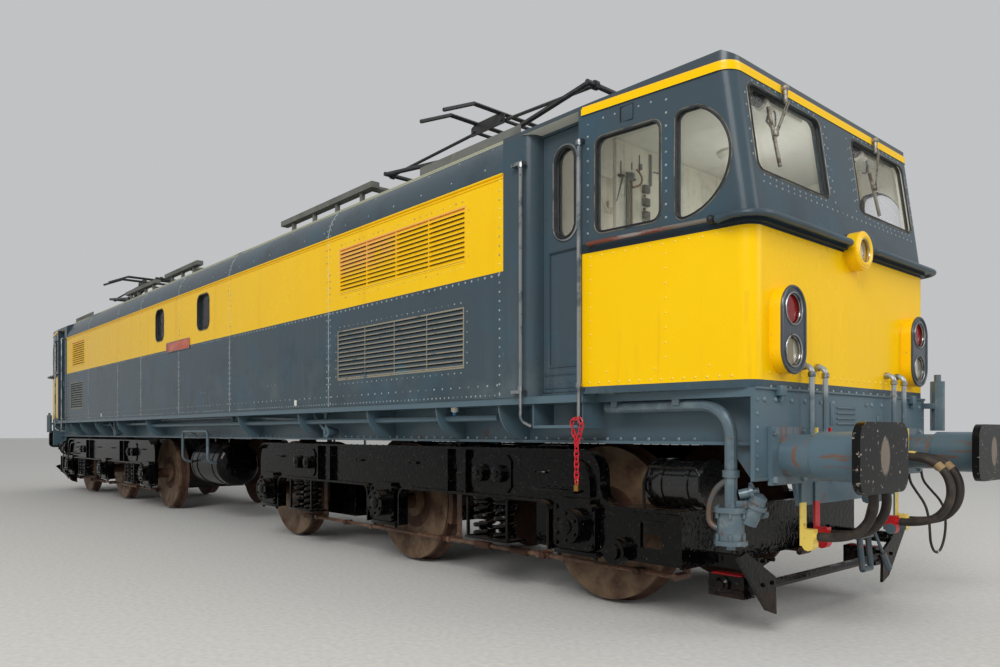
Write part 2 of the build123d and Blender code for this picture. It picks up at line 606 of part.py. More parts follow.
with BuildPart() as door_leaf:
    with BuildSketch(Plane.XZ.offset(DOOR_OUTER_Y)):
        with Locations((sum(DOOR_X) / 2, sum(DOORWAY_Z) / 2)):
            Rectangle(DOOR_X[1] - DOOR_X[0], DOORWAY_Z[1] - DOORWAY_Z[0] - 2 * DOOR_CLEARANCE)
    extrude(amount=-DOOR_THICKNESS)
    with BuildSketch(Plane.XZ.offset(DOOR_OUTER_Y)):
        x, z, width, height, corner = DOOR_WINDOW
        with Locations((sum(DOOR_X) / 2, z)):
            RectangleRounded(width, height, corner)
    extrude(amount=-DOOR_THICKNESS / 2 + GLASS / 2, mode=Mode.SUBTRACT)
    with BuildSketch(Plane.XZ.offset(DOOR_OUTER_Y - DOOR_THICKNESS)):
        with Locations((sum(DOOR_X) / 2, z)):
            RectangleRounded(width, height, corner)
    extrude(amount=DOOR_THICKNESS / 2 - GLASS / 2, mode=Mode.SUBTRACT)
    with BuildSketch(Plane.XZ.offset(DOOR_OUTER_Y)):
        x, z, width, height = DOOR_PANEL
        with Locations((x, z)):
            Rectangle(width, height)
    extrude(amount=-DOOR_PANEL_DEPTH, mode=Mode.SUBTRACT)
    for z, direction in ((DOORWAY_Z[0] + DOOR_CLEARANCE, -1), (DOORWAY_Z[1] - DOOR_CLEARANCE, 1)):
        with BuildSketch(Plane.XY.offset(z)):
            with Locations((DOOR_PIN_X, -DOOR_PIN_Y)):
                Circle(DOOR_PIN_RADIUS)
        extrude(amount=direction * DOOR_PIN_LENGTH)

# Doors by cab and side: name, mirrored to the left side, turned to cab 2
for name, mirrored, turn in (
    ("door_1_right", False, 0),
    ("door_1_left", True, 0),
    ("door_2_right", True, 180),
    ("door_2_left", False, 180),
):
    with BuildPart() as door:
        if mirrored:
            add(mirror(door_leaf.part, about=Plane.XZ, mode=Mode.PRIVATE), rotation=(0, 0, turn))
        else:
            add(door_leaf.part, rotation=(0, 0, turn))
    door.part.label = name
    export_step(door.part, f"parts/{name}.step")

# Bulkheads behind the cabs
BULKHEAD = 30
CUPBOARDS = (  # Y, Z, width, height, depth
    (-780, 2250, 560, 1500, 90), (-250, 2700, 320, 560, 60), (300, 2500, 480, 900, 75), (850, 2300, 420, 1400, 100),
)
with BuildPart() as bulkheads:
    for end in (-1, 1):
        with Locations((end * (BODY_END_X + BULKHEAD / 2), 0, (BODY_BOTTOM_Z + CAB_TOP_Z) / 2)):
            Box(BULKHEAD, 2 * DOOR_FRAME_INNER_Y, CAB_TOP_Z - BODY_BOTTOM_Z)
        # Cupboards and boxes on the cab's side of the wall
        for y, z, width, height, depth in CUPBOARDS:
            with Locations((end * (BODY_END_X + BULKHEAD), end * y, z)):
                Box(2 * depth, width, height)
bulkheads.part.label = "bulkheads"
export_step(bulkheads.part, "parts/bulkheads.step")

# Cab desks and seats
DESK_X = (7850, 8340)
DESK_HALF_WIDTH = 1080
DESK_Z = 2330
SEATS = (-620, 620)

with BuildPart() as cab_furniture:
    with BuildSketch(Plane.XZ.offset(-DESK_HALF_WIDTH)):
        with BuildLine():
            Polyline(
                (DESK_X[0] + 150, BODY_BOTTOM_Z), (DESK_X[1], BODY_BOTTOM_Z), (DESK_X[1], DESK_Z + 90),
                (DESK_X[1] - 180, DESK_Z + 90), (DESK_X[1] - 220, DESK_Z), (DESK_X[0], DESK_Z - 40),
                (DESK_X[0], DESK_Z - 110), (DESK_X[0] + 150, DESK_Z - 160), close=True,
            )
        make_face()
    extrude(amount=2 * DESK_HALF_WIDTH)
    for y in SEATS:
        with Locations((7420, y, BODY_BOTTOM_Z)):
            Cylinder(60, 420, align=(Align.CENTER, Align.CENTER, Align.MIN))
        with Locations((7420, y, BODY_BOTTOM_Z + 470)):
            Box(420, 440, 100)
        with Locations((7240, y, BODY_BOTTOM_Z + 770)):
            Box(70, 420, 520)
    add(cab_furniture.part, rotation=(0, 0, 180))
cab_furniture.part.label = "cab_furniture"
export_step(cab_furniture.part, "parts/cab_furniture.step")

# Machines between the bulkheads, as one block at their place
EQUIPMENT = (10200, 1500, 1250)
with BuildPart() as equipment_block:
    with Locations((0, 0, BODY_BOTTOM_Z)):
        Box(*EQUIPMENT, align=(Align.CENTER, Align.CENTER, Align.MIN))
equipment_block.part.label = "equipment_block"
export_step(equipment_block.part, "parts/equipment_block.step")

# Lamps: two upright housings and one round headlamp on each end
LAMP_POD = (910, 1800, 270, 500, 75)  # Y, Z, width, height, depth
RED_LAMP_Z = 1920
WHITE_LAMP_Z = 1680
LENS_RADIUS = 88
LENS_DEPTH = 40
LENS_THICKNESS = 22

with BuildPart() as lamp_housings:
    y, z, width, height, depth = LAMP_POD
    with BuildSketch(Plane.YZ.offset(CAB_FRONT_X)):
        with Locations((-y, z), (y, z)):
            SlotOverall(height, width, rotation=90)
    extrude(amount=depth)
    with BuildSketch(Plane.YZ.offset(CAB_FRONT_X + depth)):
        for lamp_z in (RED_LAMP_Z, WHITE_LAMP_Z):
            with Locations((-y, lamp_z), (y, lamp_z)):
                Circle(LENS_RADIUS)
    extrude(amount=-LENS_DEPTH, mode=Mode.SUBTRACT)
    with BuildSketch(Plane.YZ.offset(CAB_FRONT_X)):
        with Locations((0, HEADLAMP_Z)):
            Circle(HEADLAMP_RADIUS)
    extrude(amount=depth)
    with BuildSketch(Plane.YZ.offset(CAB_FRONT_X + depth)):
        with Locations((0, HEADLAMP_Z)):
            Circle(LENS_RADIUS)
    extrude(amount=-LENS_DEPTH, mode=Mode.SUBTRACT)
    add(lamp_housings.part, rotation=(0, 0, 180))
lamp_housings.part.label = "lamp_housings"
export_step(lamp_housings.part, "parts/lamp_housings.step")

# Lenses: name, list of (y, z) on each end
for name, places in (
    ("red_lenses", ((-LAMP_POD[0], RED_LAMP_Z), (LAMP_POD[0], RED_LAMP_Z))),
    ("clear_lenses", ((-LAMP_POD[0], WHITE_LAMP_Z), (LAMP_POD[0], WHITE_LAMP_Z), (0, HEADLAMP_Z))),
):
    with BuildPart() as lenses:
        with BuildSketch(Plane.YZ.offset(CAB_FRONT_X + LAMP_POD[4] - LENS_DEPTH)):
            with Locations(*places):
                Circle(LENS_RADIUS - SEAT_GAP)
        extrude(amount=LENS_THICKNESS)
        add(lenses.part, rotation=(0, 0, 180))
    lenses.part.label = name
    export_step(lenses.part, f"parts/{name}.step")

# Buffers
BUFFER_FLANGE = (380, 330, 25)
SLEEVE_RADIUS = 122
SLEEVE_END_X = 8640
RAM_RADIUS = 138

with BuildPart() as buffer_housings:
    for side in (-1, 1):
        with BuildSketch(Plane.YZ.offset(HEADSTOCK_X)):
            with Locations((side * BUFFER_Y, BUFFER_Z)):
                Rectangle(BUFFER_FLANGE[0], BUFFER_FLANGE[1])
        extrude(amount=BUFFER_FLANGE[2])
        with BuildSketch(Plane.YZ.offset(HEADSTOCK_X)):
            with Locations((side * BUFFER_Y, BUFFER_Z)):
                Circle(SLEEVE_RADIUS)
        extrude(amount=SLEEVE_END_X - HEADSTOCK_X)
    add(buffer_housings.part, rotation=(0, 0, 180))
buffer_housings.part.label = "buffer_housings"
export_step(buffer_housings.part, "parts/buffer_housings.step")

with BuildPart() as buffer_heads:
    for side in (-1, 1):
        with BuildSketch(Plane.YZ.offset(SLEEVE_END_X)):
            with Locations((side * BUFFER_Y, BUFFER_Z)):
                Circle(RAM_RADIUS)
        extrude(amount=BUFFER_FACE_X - SLEEVE_END_X - BUFFER_HEAD[2] / 2)
        with BuildSketch(Plane.YZ.offset(BUFFER_FACE_X - BUFFER_HEAD[2])):
            with Locations((side * BUFFER_Y, BUFFER_Z)):
                RectangleRounded(BUFFER_HEAD[0], BUFFER_HEAD[1], 90)
        extrude(amount=BUFFER_HEAD[2])
    add(buffer_heads.part, rotation=(0, 0, 180))
buffer_heads.part.label = "buffer_heads"
export_step(buffer_heads.part, "parts/buffer_heads.step")

# Draw hooks and screw couplings: X and Z of each pin
HOOK_WIDTH = 60
LINK_TOP = (8590, 1080)
NUT = (8560, 800)
LOWER_NUT = (8500, 560)
SHACKLE = (8520, 340)
LINK_Y = 62
LINK_RADIUS = 20
NUT_HALF = 95
NUT_RADIUS = 32
SCREW_RADIUS = 20
LEVER_END = (8600, 150, 330)
LEVER_RADIUS = 10

with BuildPart() as draw_gear:
    with BuildSketch(Plane.XZ.offset(-HOOK_WIDTH / 2)):
        with BuildLine():
            x = HEADSTOCK_X
            Line((x, 1130), (x + 130, 1130))
            ThreePointArc((x + 130, 1130), (x + 205, 1120), (x + 225, 1190))
            Line((x + 225, 1190), (x + 285, 1190))
            ThreePointArc((x + 285, 1190), (x + 245, 1060), (x + 130, 1030))
            Polyline((x + 130, 1030), (x, 1030), (x, 1130))
        make_face()
    extrude(amount=HOOK_WIDTH)
    # Screw coupling that hangs from the hook: links, nut, screw, lower nut, shackle and lever
    for side in (-1, 1):
        y = side * LINK_Y
        add(bar((LINK_TOP[0], y, LINK_TOP[1]), (NUT[0], y, NUT[1]), LINK_RADIUS, 4))
        add(bar((LOWER_NUT[0], y, LOWER_NUT[1]), (SHACKLE[0], y, SHACKLE[1]), LINK_RADIUS, 8))
    add(bar((LINK_TOP[0], -LINK_Y - 20, LINK_TOP[1]), (LINK_TOP[0], LINK_Y + 20, LINK_TOP[1]), LINK_RADIUS, 8))
    add(bar((NUT[0], -NUT_HALF, NUT[1]), (NUT[0], NUT_HALF, NUT[1]), NUT_RADIUS, 8))
    add(bar((LOWER_NUT[0], -NUT_HALF, LOWER_NUT[1]), (LOWER_NUT[0], NUT_HALF, LOWER_NUT[1]), NUT_RADIUS, 8))
    add(bar((NUT[0], 0, NUT[1]), (LOWER_NUT[0], 0, LOWER_NUT[1]), SCREW_RADIUS, 8))
    add(bar((SHACKLE[0], -LINK_Y, SHACKLE[1]), (SHACKLE[0], LINK_Y, SHACKLE[1]), LINK_RADIUS, 8))
    middle = ((NUT[0] + LOWER_NUT[0]) / 2, 0, (NUT[1] + LOWER_NUT[1]) / 2)
    add(bar(middle, LEVER_END, LEVER_RADIUS, 6))
    add(bar(Vector(*middle) * 0.3 + Vector(*LEVER_END) * 0.7, LEVER_END, 2 * LEVER_RADIUS, 6))
    add(draw_gear.part, rotation=(0, 0, 180))
draw_gear.part.label = "draw_gear"
export_step(draw_gear.part, "parts/draw_gear.step")

# Upright brake pipes on the ends, each down to a cock with a lever and an outlet for its hose
END_PIPES = (-670, -500, 500, 670)  # Y of each
END_PIPE_RADIUS = 17
END_PIPE_X = 8490
END_PIPE_TOP_Z = 1610
COCK = 66
COCK_Z = 1055
COCK_OUTLET = (24, 8532)  # radius, X of its end
COCK_LEVER = (16, 190)
# Side pipe under the corner of the cab, with clips, and a valve below its end
SIDE_PIPE = ((7330, -1150, 1377), (8250, -1150, 1377), (8250, -1150, 760))
SIDE_PIPE_RADIUS = 36
SIDE_PIPE_BEND = 190
SIDE_PIPE_CLIPS = (7420, 7900)
SIDE_PIPE_CLIP = 50
END_CYLINDER = (8505, 1255, 1230, 1600, 50)  # X, Y, Z from, Z to, radius
# Rings of the valve, from the top: Z from, Z to, radius
VALVE = ((1000, 960, 48), (790, 760, 95), (760, 600, 76), (600, 575, 95), (575, 545, 26))

with BuildPart() as end_pipes:
    for y in END_PIPES:
        with BuildLine():
            FilletPolyline(
                (CAB_FRONT_X, y, END_PIPE_TOP_Z), (END_PIPE_X, y, END_PIPE_TOP_Z), (END_PIPE_X, y, COCK_Z),
                radius=40,
            )
        with BuildSketch(Plane(origin=(CAB_FRONT_X, y, END_PIPE_TOP_Z), z_dir=(1, 0, 0))):
            RegularPolygon(END_PIPE_RADIUS, 8)
        sweep()
        with Locations((END_PIPE_X, y, COCK_Z)):
            Box(COCK, COCK, COCK)
        add(bar((END_PIPE_X, y, COCK_Z), (COCK_OUTLET[1], y, COCK_Z), COCK_OUTLET[0], 8))
        with Locations((END_PIPE_X, y + COCK / 2, COCK_Z)):
            Box(2 * COCK_LEVER[0], COCK_LEVER[0], COCK_LEVER[1], align=(Align.CENTER, Align.MIN, Align.MIN))
    with BuildLine():
        FilletPolyline(*SIDE_PIPE, radius=SIDE_PIPE_BEND)
    with BuildSketch(Plane(origin=SIDE_PIPE[0], z_dir=(1, 0, 0))):
        RegularPolygon(SIDE_PIPE_RADIUS, 12)
    sweep()
    for x in SIDE_PIPE_CLIPS:
        with Locations((x, SIDE_PIPE[0][1], FLOOR_BOTTOM_Z - SEAT_GAP)):
            Box(SIDE_PIPE_CLIP, 2 * SIDE_PIPE_RADIUS + 20, SIDE_PIPE_RADIUS, align=(Align.CENTER, Align.CENTER, Align.MAX))
    for top, bottom, radius in VALVE:
        with Locations((SIDE_PIPE[2][0], SIDE_PIPE[2][1], bottom)):
            Cylinder(radius, top - bottom, align=(Align.CENTER, Align.CENTER, Align.MIN))
    # Upright cylinder on a bracket beside the headstock
    x, y, bottom, top, radius = END_CYLINDER
    add(bar((x, y, bottom), (x, y, top), radius, 12))
    add(bar((x, y, top - 1), (x, y, top + 50), radius / 2, 8))
    with Locations((HEADSTOCK_X + SEAT_GAP, y - 90, (bottom + top) / 2)):
        Box(x - HEADSTOCK_X, 90, 40, align=(Align.MIN, Align.MIN, Align.CENTER))
    add(end_pipes.part, rotation=(0, 0, 180))
end_pipes.part.label = "end_pipes"
export_step(end_pipes.part, "parts/end_pipes.step")

# Hose couplings parked on hanging bars at the near end, and the hoses that loop back to them
HANGER_BAR = (60, 12, 915, 545)  # width, thickness, Z from, Z to
COUPLING_Z = 605
COUPLING_BODY = (70, 56, 80)
COUPLING_FACE = (38, 60)  # radius, width of the round face
HOSE_END_X = 8532
HOSE_DIAMETER = 54
# Points of each hose in its upright plane: X, Z
HOSE = (
    (HOSE_END_X, COCK_Z), (8716, COCK_Z), (8848, 923), (8848, 737), (8716, COUPLING_Z), (HOSE_END_X, COUPLING_Z),
)


def cord(points, diameter, name):
    """A round cord along points, with arcs as large as its runs allow. Prints its radii and its length."""
    points = [Vector(*p) for p in points]
    runs = [(b - a).length for a, b in zip(points, points[1:])]
    radii = []
    for i in range(1, len(points) - 1):
        turn = (points[i] - points[i - 1]).get_angle(points[i + 1] - points[i])
        radii.append(0.45 * min(runs[i - 1], runs[i]) / tan(radians(turn / 2)))
    with BuildPart() as tube:
        with BuildLine() as path:
            FilletPolyline(*points, radius=radii)
        with BuildSketch(Plane(origin=points[0], z_dir=points[1] - points[0])) as section:
            RegularPolygon(diameter / 2, 12)
        sweep()
    length = sum(edge.length for edge in path.edges())
    print(name, "radii", [round(r) for r in radii], "length", round(length),
          "volume share", round(tube.part.volume / (section.sketch.area * length), 4))
    return tube.part


for number, y in enumerate(END_PIPES, 1):
    name = f"brake_hose_{number}"
    with BuildPart() as hose:
        add(cord([(x, y, z) for x, z in HOSE], HOSE_DIAMETER, name))
    hose.part.label = name
    export_step(hose.part, f"parts/{name}.step")

with BuildPart() as hose_couplings:
    for y in END_PIPES:
        width, thickness, top, bottom = HANGER_BAR
        with Locations((HEADSTOCK_X + SEAT_GAP, y, bottom)):
            Box(thickness, width, top - bottom, align=(Align.MIN, Align.CENTER, Align.MIN))
        with Locations((HEADSTOCK_X + SEAT_GAP + thickness, y, COUPLING_Z)):
            Box(COUPLING_BODY[0], COUPLING_BODY[1], COUPLING_BODY[2], align=(Align.MIN, Align.CENTER, Align.CENTER))
        add(bar((HEADSTOCK_X + thickness + COUPLING_BODY[0], y, COUPLING_Z), (HOSE_END_X, y, COUPLING_Z), 24, 8))
        add(bar((8480, y - COUPLING_FACE[1] / 2, COUPLING_Z - 50), (8480, y + COUPLING_FACE[1] / 2, COUPLING_Z - 50),
                COUPLING_FACE[0], 10))
hose_couplings.part.label = "hose_couplings"
export_step(hose_couplings.part, "parts/hose_couplings.step")

# Jumper cable that hangs in a loop from the underside of the headstock at the near end
JUMPER_DIAMETER = 18
JUMPER = (
    (8417, 948, HEADSTOCK_BOTTOM_Z - SEAT_GAP), (8417, 948, 870), (8470, 948, 785), (8530, 948, 700),
    (8555, 948, 600), (8560, 952, 505), (8560, 965, 416), (8560, 1041, 340), (8560, 1149, 340), (8560, 1228, 416),
    (8560, 1262, 515), (8555, 1268, 615), (8530, 1255, 705), (8470, 1222, 785), (8417, 1185, 870),
    (8417, 1185, HEADSTOCK_BOTTOM_Z - SEAT_GAP),
)
with BuildPart() as jumper_cable:
    add(cord(JUMPER, JUMPER_DIAMETER, "jumper_cable"))
jumper_cable.part.label = "jumper_cable"
export_step(jumper_cable.part, "parts/jumper_cable.step")

# Handrails beside the doors: X of each, and X from and X to of its two brackets
HANDRAILS = ((6745, 6640, 6757), (7294, 7282, 7306))
HANDRAIL_Y = 1390
HANDRAIL_Z = (1500, 3100)
HANDRAIL_RADIUS = 14
HANDRAIL_BRACKET = 24

with BuildPart() as handrails:
    for x, start, end in HANDRAILS:
        with BuildSketch(Plane.XY.offset(HANDRAIL_Z[0])):
            with Locations((x, -HANDRAIL_Y)):
                RegularPolygon(HANDRAIL_RADIUS, 8)
        extrude(amount=HANDRAIL_Z[1] - HANDRAIL_Z[0])
        for z in HANDRAIL_Z:
            with Locations(((start + end) / 2, -BODY_HALF_WIDTH - SEAT_GAP, z)):
                Box(end - start, HANDRAIL_Y - BODY_HALF_WIDTH, HANDRAIL_BRACKET,
                    align=(Align.CENTER, Align.MAX, Align.CENTER))
    mirror(about=Plane.XZ)
    add(handrails.part, rotation=(0, 0, 180))
handrails.part.label = "handrails"
export_step(handrails.part, "parts/handrails.step")

# Air reservoirs under the middle of the floor: X, Y, Z, radius, length
RESERVOIRS = ((-60, -760, 790, 290, 980), (-60, 760, 790, 290, 980), (940, 0, 770, 230, 560))

with BuildPart() as reservoirs:
    for x, y, z, radius, length in RESERVOIRS:
        with BuildSketch(Plane.YZ.offset(x - length / 2)):
            with Locations((y, z)):
                Circle(radius)
        extrude(amount=length)
        with Locations((x - length / 4, y, z), (x + length / 4, y, z)):
            # A tank in the middle hangs from the centre girder
            hanger_z = PIVOT_SEAT_Z if y == 0 else FLOOR_BOTTOM_Z
            Box(40, 60, hanger_z - z, align=(Align.CENTER, Align.CENTER, Align.MIN))
reservoirs.part.label = "reservoirs"
export_step(reservoirs.part, "parts/reservoirs.step")

# Wheelset about its own axle at the origin
with BuildPart() as wheelset:
    with BuildSketch(Plane.YZ):
        with BuildLine():
            Polyline(
                (0, 0),
                (0, AXLE_RADIUS),
                (WHEEL_BACK_Y, AXLE_RADIUS),
                (WHEEL_BACK_Y, WHEEL_RADIUS + FLANGE_HEIGHT),
                (WHEEL_BACK_Y + FLANGE_WIDTH, WHEEL_RADIUS),
                (TYRE_OUTER_Y, WHEEL_RADIUS),
                (TYRE_OUTER_Y, WHEEL_RADIUS - TYRE_THICKNESS),
                (TYRE_OUTER_Y - WEB_DISH, HUB_RADIUS),
                (TYRE_OUTER_Y, HUB_RADIUS),
                (TYRE_OUTER_Y, JOURNAL_RADIUS),
                (JOURNAL_END_Y, JOURNAL_RADIUS),
                (JOURNAL_END_Y, 0),
                close=True,
            )
        make_face()
    revolve(axis=Axis.Y)
    mirror(about=Plane.XZ)

# Bogie frame about its own centre: side plates with their arches and lips, ribs, transoms, end and guard irons
AXLES = (-AXLE_PITCH, 0, AXLE_PITCH)
RIBS = (-1230, -980, 980, 1215)
TRANSOMS = (-1230, 1215)
TRANSOM = (180, 260)  # length along the bogie, depth
TRANSOM_Z = 900
GIRDER = (420, 100, 1000)  # width, depth, Z of its bottom
END_STRETCHER = 60
DECK = (2780, FRAME_END, 850, 1150, 20)  # X from, X to, Y from, Y to, thickness
HORN_GAP = 300
HORN_Z = (410, 760)
ARCH = (1880, 660, 80)  # width, twice its height, radius of its corners
ARCHES = (-1210, 1210)
LIP = (18, 1060, 1160)  # thickness, Y from, Y to
INNER_LIP = (-100, -70, 1150)  # how far it is moved from the outer lip along X and Z, Y to
# Plates with two round caps: X of each plate, X of its two caps
CAP_PLATES = ((1495, (1382, 1607)), (-1588, (-1703, -1473)))
CAP_PLATE = (470, 290, 14)
CAPS_Z = 900
CAP = (68, 40)  # radius, how far it stands out
END_WINDOW = (3035, 560, 170, 160)  # X, Z, width, height
END_PLATE = (3225, 560, 120, 300, 30)  # X, Z, width, height, thickness
BOSS = ((2783, 438, 88, 1185), (2783, 438, 50, 1205))  # X, Z, radius, Y to


def side_outline(shift=(0, 0)):
    """The outline of a bogie side without its arches, moved along X and Z."""
    with BuildSketch(Plane.XZ.offset(-FRAME_Y), mode=Mode.PRIVATE) as outline:
        with BuildLine():
            Line((-2500, FRAME_TOP_Z), (2480, FRAME_TOP_Z))
            ThreePointArc((2480, FRAME_TOP_Z), (2600, 1050), (2650, 930))
            Line((2650, 930), (2650, 865))
            ThreePointArc((2650, 865), (2688, 773), (2780, FRAME_DECK_Z))
            Polyline(
                (2780, FRAME_DECK_Z), (FRAME_END, FRAME_DECK_Z), (FRAME_END, FRAME_FOOT_Z),
                (-2700, FRAME_FOOT_Z), (-2700, 900),
            )
            ThreePointArc((-2700, 900), (-2641, 1041), (-2500, FRAME_TOP_Z))
        make_face()
    x, z = shift
    return outline.sketch.translate((x, 0, z))


with BuildPart() as bogie_side:
    with BuildSketch(Plane.XZ.offset(-FRAME_Y)) as web:
        add(side_outline())
        with Locations(*((x, FRAME_FOOT_Z) for x in ARCHES)):
            RectangleRounded(*ARCH, mode=Mode.SUBTRACT)
        with Locations(*((x, sum(HORN_Z) / 2) for x in AXLES)):
            Rectangle(HORN_GAP, HORN_Z[1] - HORN_Z[0], mode=Mode.SUBTRACT)
        with Locations((END_WINDOW[0], END_WINDOW[1])):
            Rectangle(END_WINDOW[2], END_WINDOW[3], mode=Mode.SUBTRACT)
    extrude(amount=-FRAME_WEB)
    # Outer lip along the top and the ends
    with BuildSketch(Plane.XZ.offset(-LIP[1])):
        add(side_outline().translate((0, LIP[1] - FRAME_Y, 0)))
        add(side_outline((-LIP[0], -LIP[0])).translate((0, LIP[1] - FRAME_Y, 0)), mode=Mode.SUBTRACT)
    extrude(amount=-(LIP[2] - LIP[1]))
    # Inner lip beside it round the hump
    with BuildSketch(Plane.XZ.offset(-LIP[1])):
        x, z, end = INNER_LIP
        add(side_outline((x, z)).translate((0, LIP[1] - FRAME_Y, 0)))
        add(side_outline((x - LIP[0], z - LIP[0])).translate((0, LIP[1] - FRAME_Y, 0)), mode=Mode.SUBTRACT)
        with Locations((-600, 700)):
            Rectangle(5200, 1000, mode=Mode.SUBTRACT)
        with Locations((2600, HORN_Z[1] + 15)):
            Rectangle(1600, 800, align=(Align.CENTER, Align.MAX), mode=Mode.SUBTRACT)
    extrude(amount=-(INNER_LIP[2] - LIP[1]))
    # Lips of the arches
    with BuildSketch(Plane.XZ.offset(-LIP[1])):
        with Locations(*((x, FRAME_FOOT_Z) for x in ARCHES)):
            RectangleRounded(ARCH[0] + 2 * LIP[0], ARCH[1] + 2 * LIP[0], ARCH[2] + LIP[0])
            RectangleRounded(*ARCH, mode=Mode.SUBTRACT)
        with Locations((0, FRAME_FOOT_Z)):
            Rectangle(4 * FRAME_END, ARCH[1], align=(Align.CENTER, Align.MAX), mode=Mode.SUBTRACT)
    extrude(amount=-(LIP[2] - LIP[1]))
    with Locations(*((x, FRAME_Y + 45, (FRAME_ARCH_Z + FRAME_TOP_Z) / 2) for x in RIBS)):
        Box(16, 60, FRAME_TOP_Z - FRAME_ARCH_Z - 20)
    with Locations(((DECK[0] + DECK[1]) / 2, (DECK[2] + DECK[3]) / 2, FRAME_DECK_Z)):
        Box(DECK[1] - DECK[0], DECK[3] - DECK[2], DECK[4], align=(Align.CENTER, Align.CENTER, Align.MAX))
    face_y = FRAME_Y + FRAME_WEB - 1
    for x, caps in CAP_PLATES:
        with BuildSketch(Plane.XZ.offset(-face_y)):
            with Locations((x, CAPS_Z)):
                Rectangle(CAP_PLATE[0], CAP_PLATE[1])
            chamfer(vertices(), 45)
        extrude(amount=-CAP_PLATE[2])
        with BuildSketch(Plane.XZ.offset(-face_y)):
            with Locations(*((cap, CAPS_Z) for cap in caps)):
                Circle(CAP[0])
        extrude(amount=-CAP_PLATE[2] - CAP[1])
    with Locations((END_PLATE[0], face_y, END_PLATE[1])):
        Box(END_PLATE[2], END_PLATE[4], END_PLATE[3], align=(Align.CENTER, Align.MIN, Align.CENTER))
    for x, z, radius, end in BOSS:
        with BuildSketch(Plane.XZ.offset(-face_y)):
            with Locations((x, z)):
                Circle(radius)
        extrude(amount=-(end - face_y))

# Guard iron in front of the leading wheel: outline seen from the front as Y and Z, and its place
GUARD_IRON = ((1088, 531), (765, 353), (751, 125), (863, 164), (1176, 499))
GUARD_X = (3670, 3690)
GUARD_ARM = (60, 900, 960, 400, 480)  # overlap with the end, Y from, Y to, Z from, Z to
GUARD_TUBE = (30, 300)  # radius, Z
SHOE_BOX = (3357, 3600, 905, 290, 120, 130)  # X from, X to, Y, Z, width, height

with BuildPart() as bogie_frame:
    add(bogie_side.part)
    mirror(about=Plane.XZ)
    with Locations(*((x, 0, TRANSOM_Z) for x in TRANSOMS)):
        Box(TRANSOM[0], 2 * FRAME_Y, TRANSOM[1])
    # Girder between the transoms, with the socket for the body's pivot
    with Locations((sum(TRANSOMS) / 2, 0, GIRDER[2])):
        Box(TRANSOMS[1] - TRANSOMS[0], GIRDER[0], GIRDER[1], align=(Align.CENTER, Align.CENTER, Align.MIN))
    with Locations((0, 0, GIRDER[2])):
        Cylinder(PIVOT_RADIUS + 110, PIVOT_SEAT_Z - GIRDER[2], align=(Align.CENTER, Align.CENTER, Align.MIN))
    with Locations((0, 0, PIVOT_SEAT_Z)):
        Cylinder(PIVOT_RADIUS + PIVOT_CLEARANCE, PIVOT_DEPTH + 10, align=(Align.CENTER, Align.CENTER, Align.MAX),
                 mode=Mode.SUBTRACT)
    with Locations((FRAME_END - END_STRETCHER / 2, 0, (FRAME_FOOT_Z + FRAME_DECK_Z) / 2)):
        Box(END_STRETCHER, 2 * FRAME_Y, FRAME_DECK_Z - FRAME_FOOT_Z)
    for side in (-1, 1):
        with BuildSketch(Plane.YZ.offset(GUARD_X[0])):
            Polygon(*((side * y, z) for y, z in GUARD_IRON), align=None)
        extrude(amount=GUARD_X[1] - GUARD_X[0])
        overlap, y_from, y_to, z_from, z_to = GUARD_ARM
        with Locations((FRAME_END - overlap, side * (y_from + y_to) / 2, (z_from + z_to) / 2)):
            Box(GUARD_X[1] - FRAME_END + overlap - 2, y_to - y_from, z_to - z_from, align=(Align.MIN, Align.CENTER, Align.CENTER))
        start, end, y, z, width, height = SHOE_BOX
        with Locations(((start + end) / 2, side * y, z)):
            Box(end - start, width, height)
        add(bar((end - 5, side * y, z), (GUARD_X[0] + 5, side * y, z), height / 3, 8))
    tube_x = GUARD_X[0] - GUARD_TUBE[0] + 4
    add(bar((tube_x, -800, GUARD_TUBE[1]), (tube_x, 800, GUARD_TUBE[1]), GUARD_TUBE[0], 8))

# Axleboxes in the horn gaps, each with a bore for the journal, a cover plate and a round cap
AXLEBOX_INNER_Y = 1020
AXLEBOX_COVER_Y = 1165
AXLEBOX_CAP_Y = 1245
AXLEBOX_COVER = (390, 310)
AXLEBOX_CAP_RADIUS = 120

with BuildPart() as axlebox:
    with BuildSketch(Plane.XZ.offset(-AXLEBOX_INNER_Y)):
        with Locations((0, sum(HORN_Z) / 2)):
            Rectangle(HORN_GAP - 2 * SEAT_GAP, HORN_Z[1] - HORN_Z[0] - 2 * SEAT_GAP)
    extrude(amount=AXLEBOX_INNER_Y - AXLEBOX_COVER_Y)
    with BuildSketch(Plane.XZ.offset(-FRAME_Y - FRAME_WEB - SEAT_GAP)):
        with Locations((0, AXLE_Z)):
            RectangleRounded(*AXLEBOX_COVER, 40)
    extrude(amount=FRAME_Y + FRAME_WEB + SEAT_GAP - AXLEBOX_COVER_Y)
    with BuildSketch(Plane.XZ.offset(-AXLEBOX_COVER_Y)):
        with Locations((0, AXLE_Z)):
            Circle(AXLEBOX_CAP_RADIUS)
    extrude(amount=AXLEBOX_COVER_Y - AXLEBOX_CAP_Y)
    with BuildSketch(Plane.XZ.offset(-AXLEBOX_INNER_Y)):
        with Locations((0, AXLE_Z)):
            Circle(JOURNAL_RADIUS + JOURNAL_CLEARANCE)
    extrude(amount=AXLEBOX_INNER_Y - JOURNAL_END_Y - SEAT_GAP, mode=Mode.SUBTRACT)
    mirror(about=Plane.XZ)

with BuildPart() as axleboxes:
    with Locations(*((x, 0, 0) for x in AXLES)):
        add(axlebox.part)

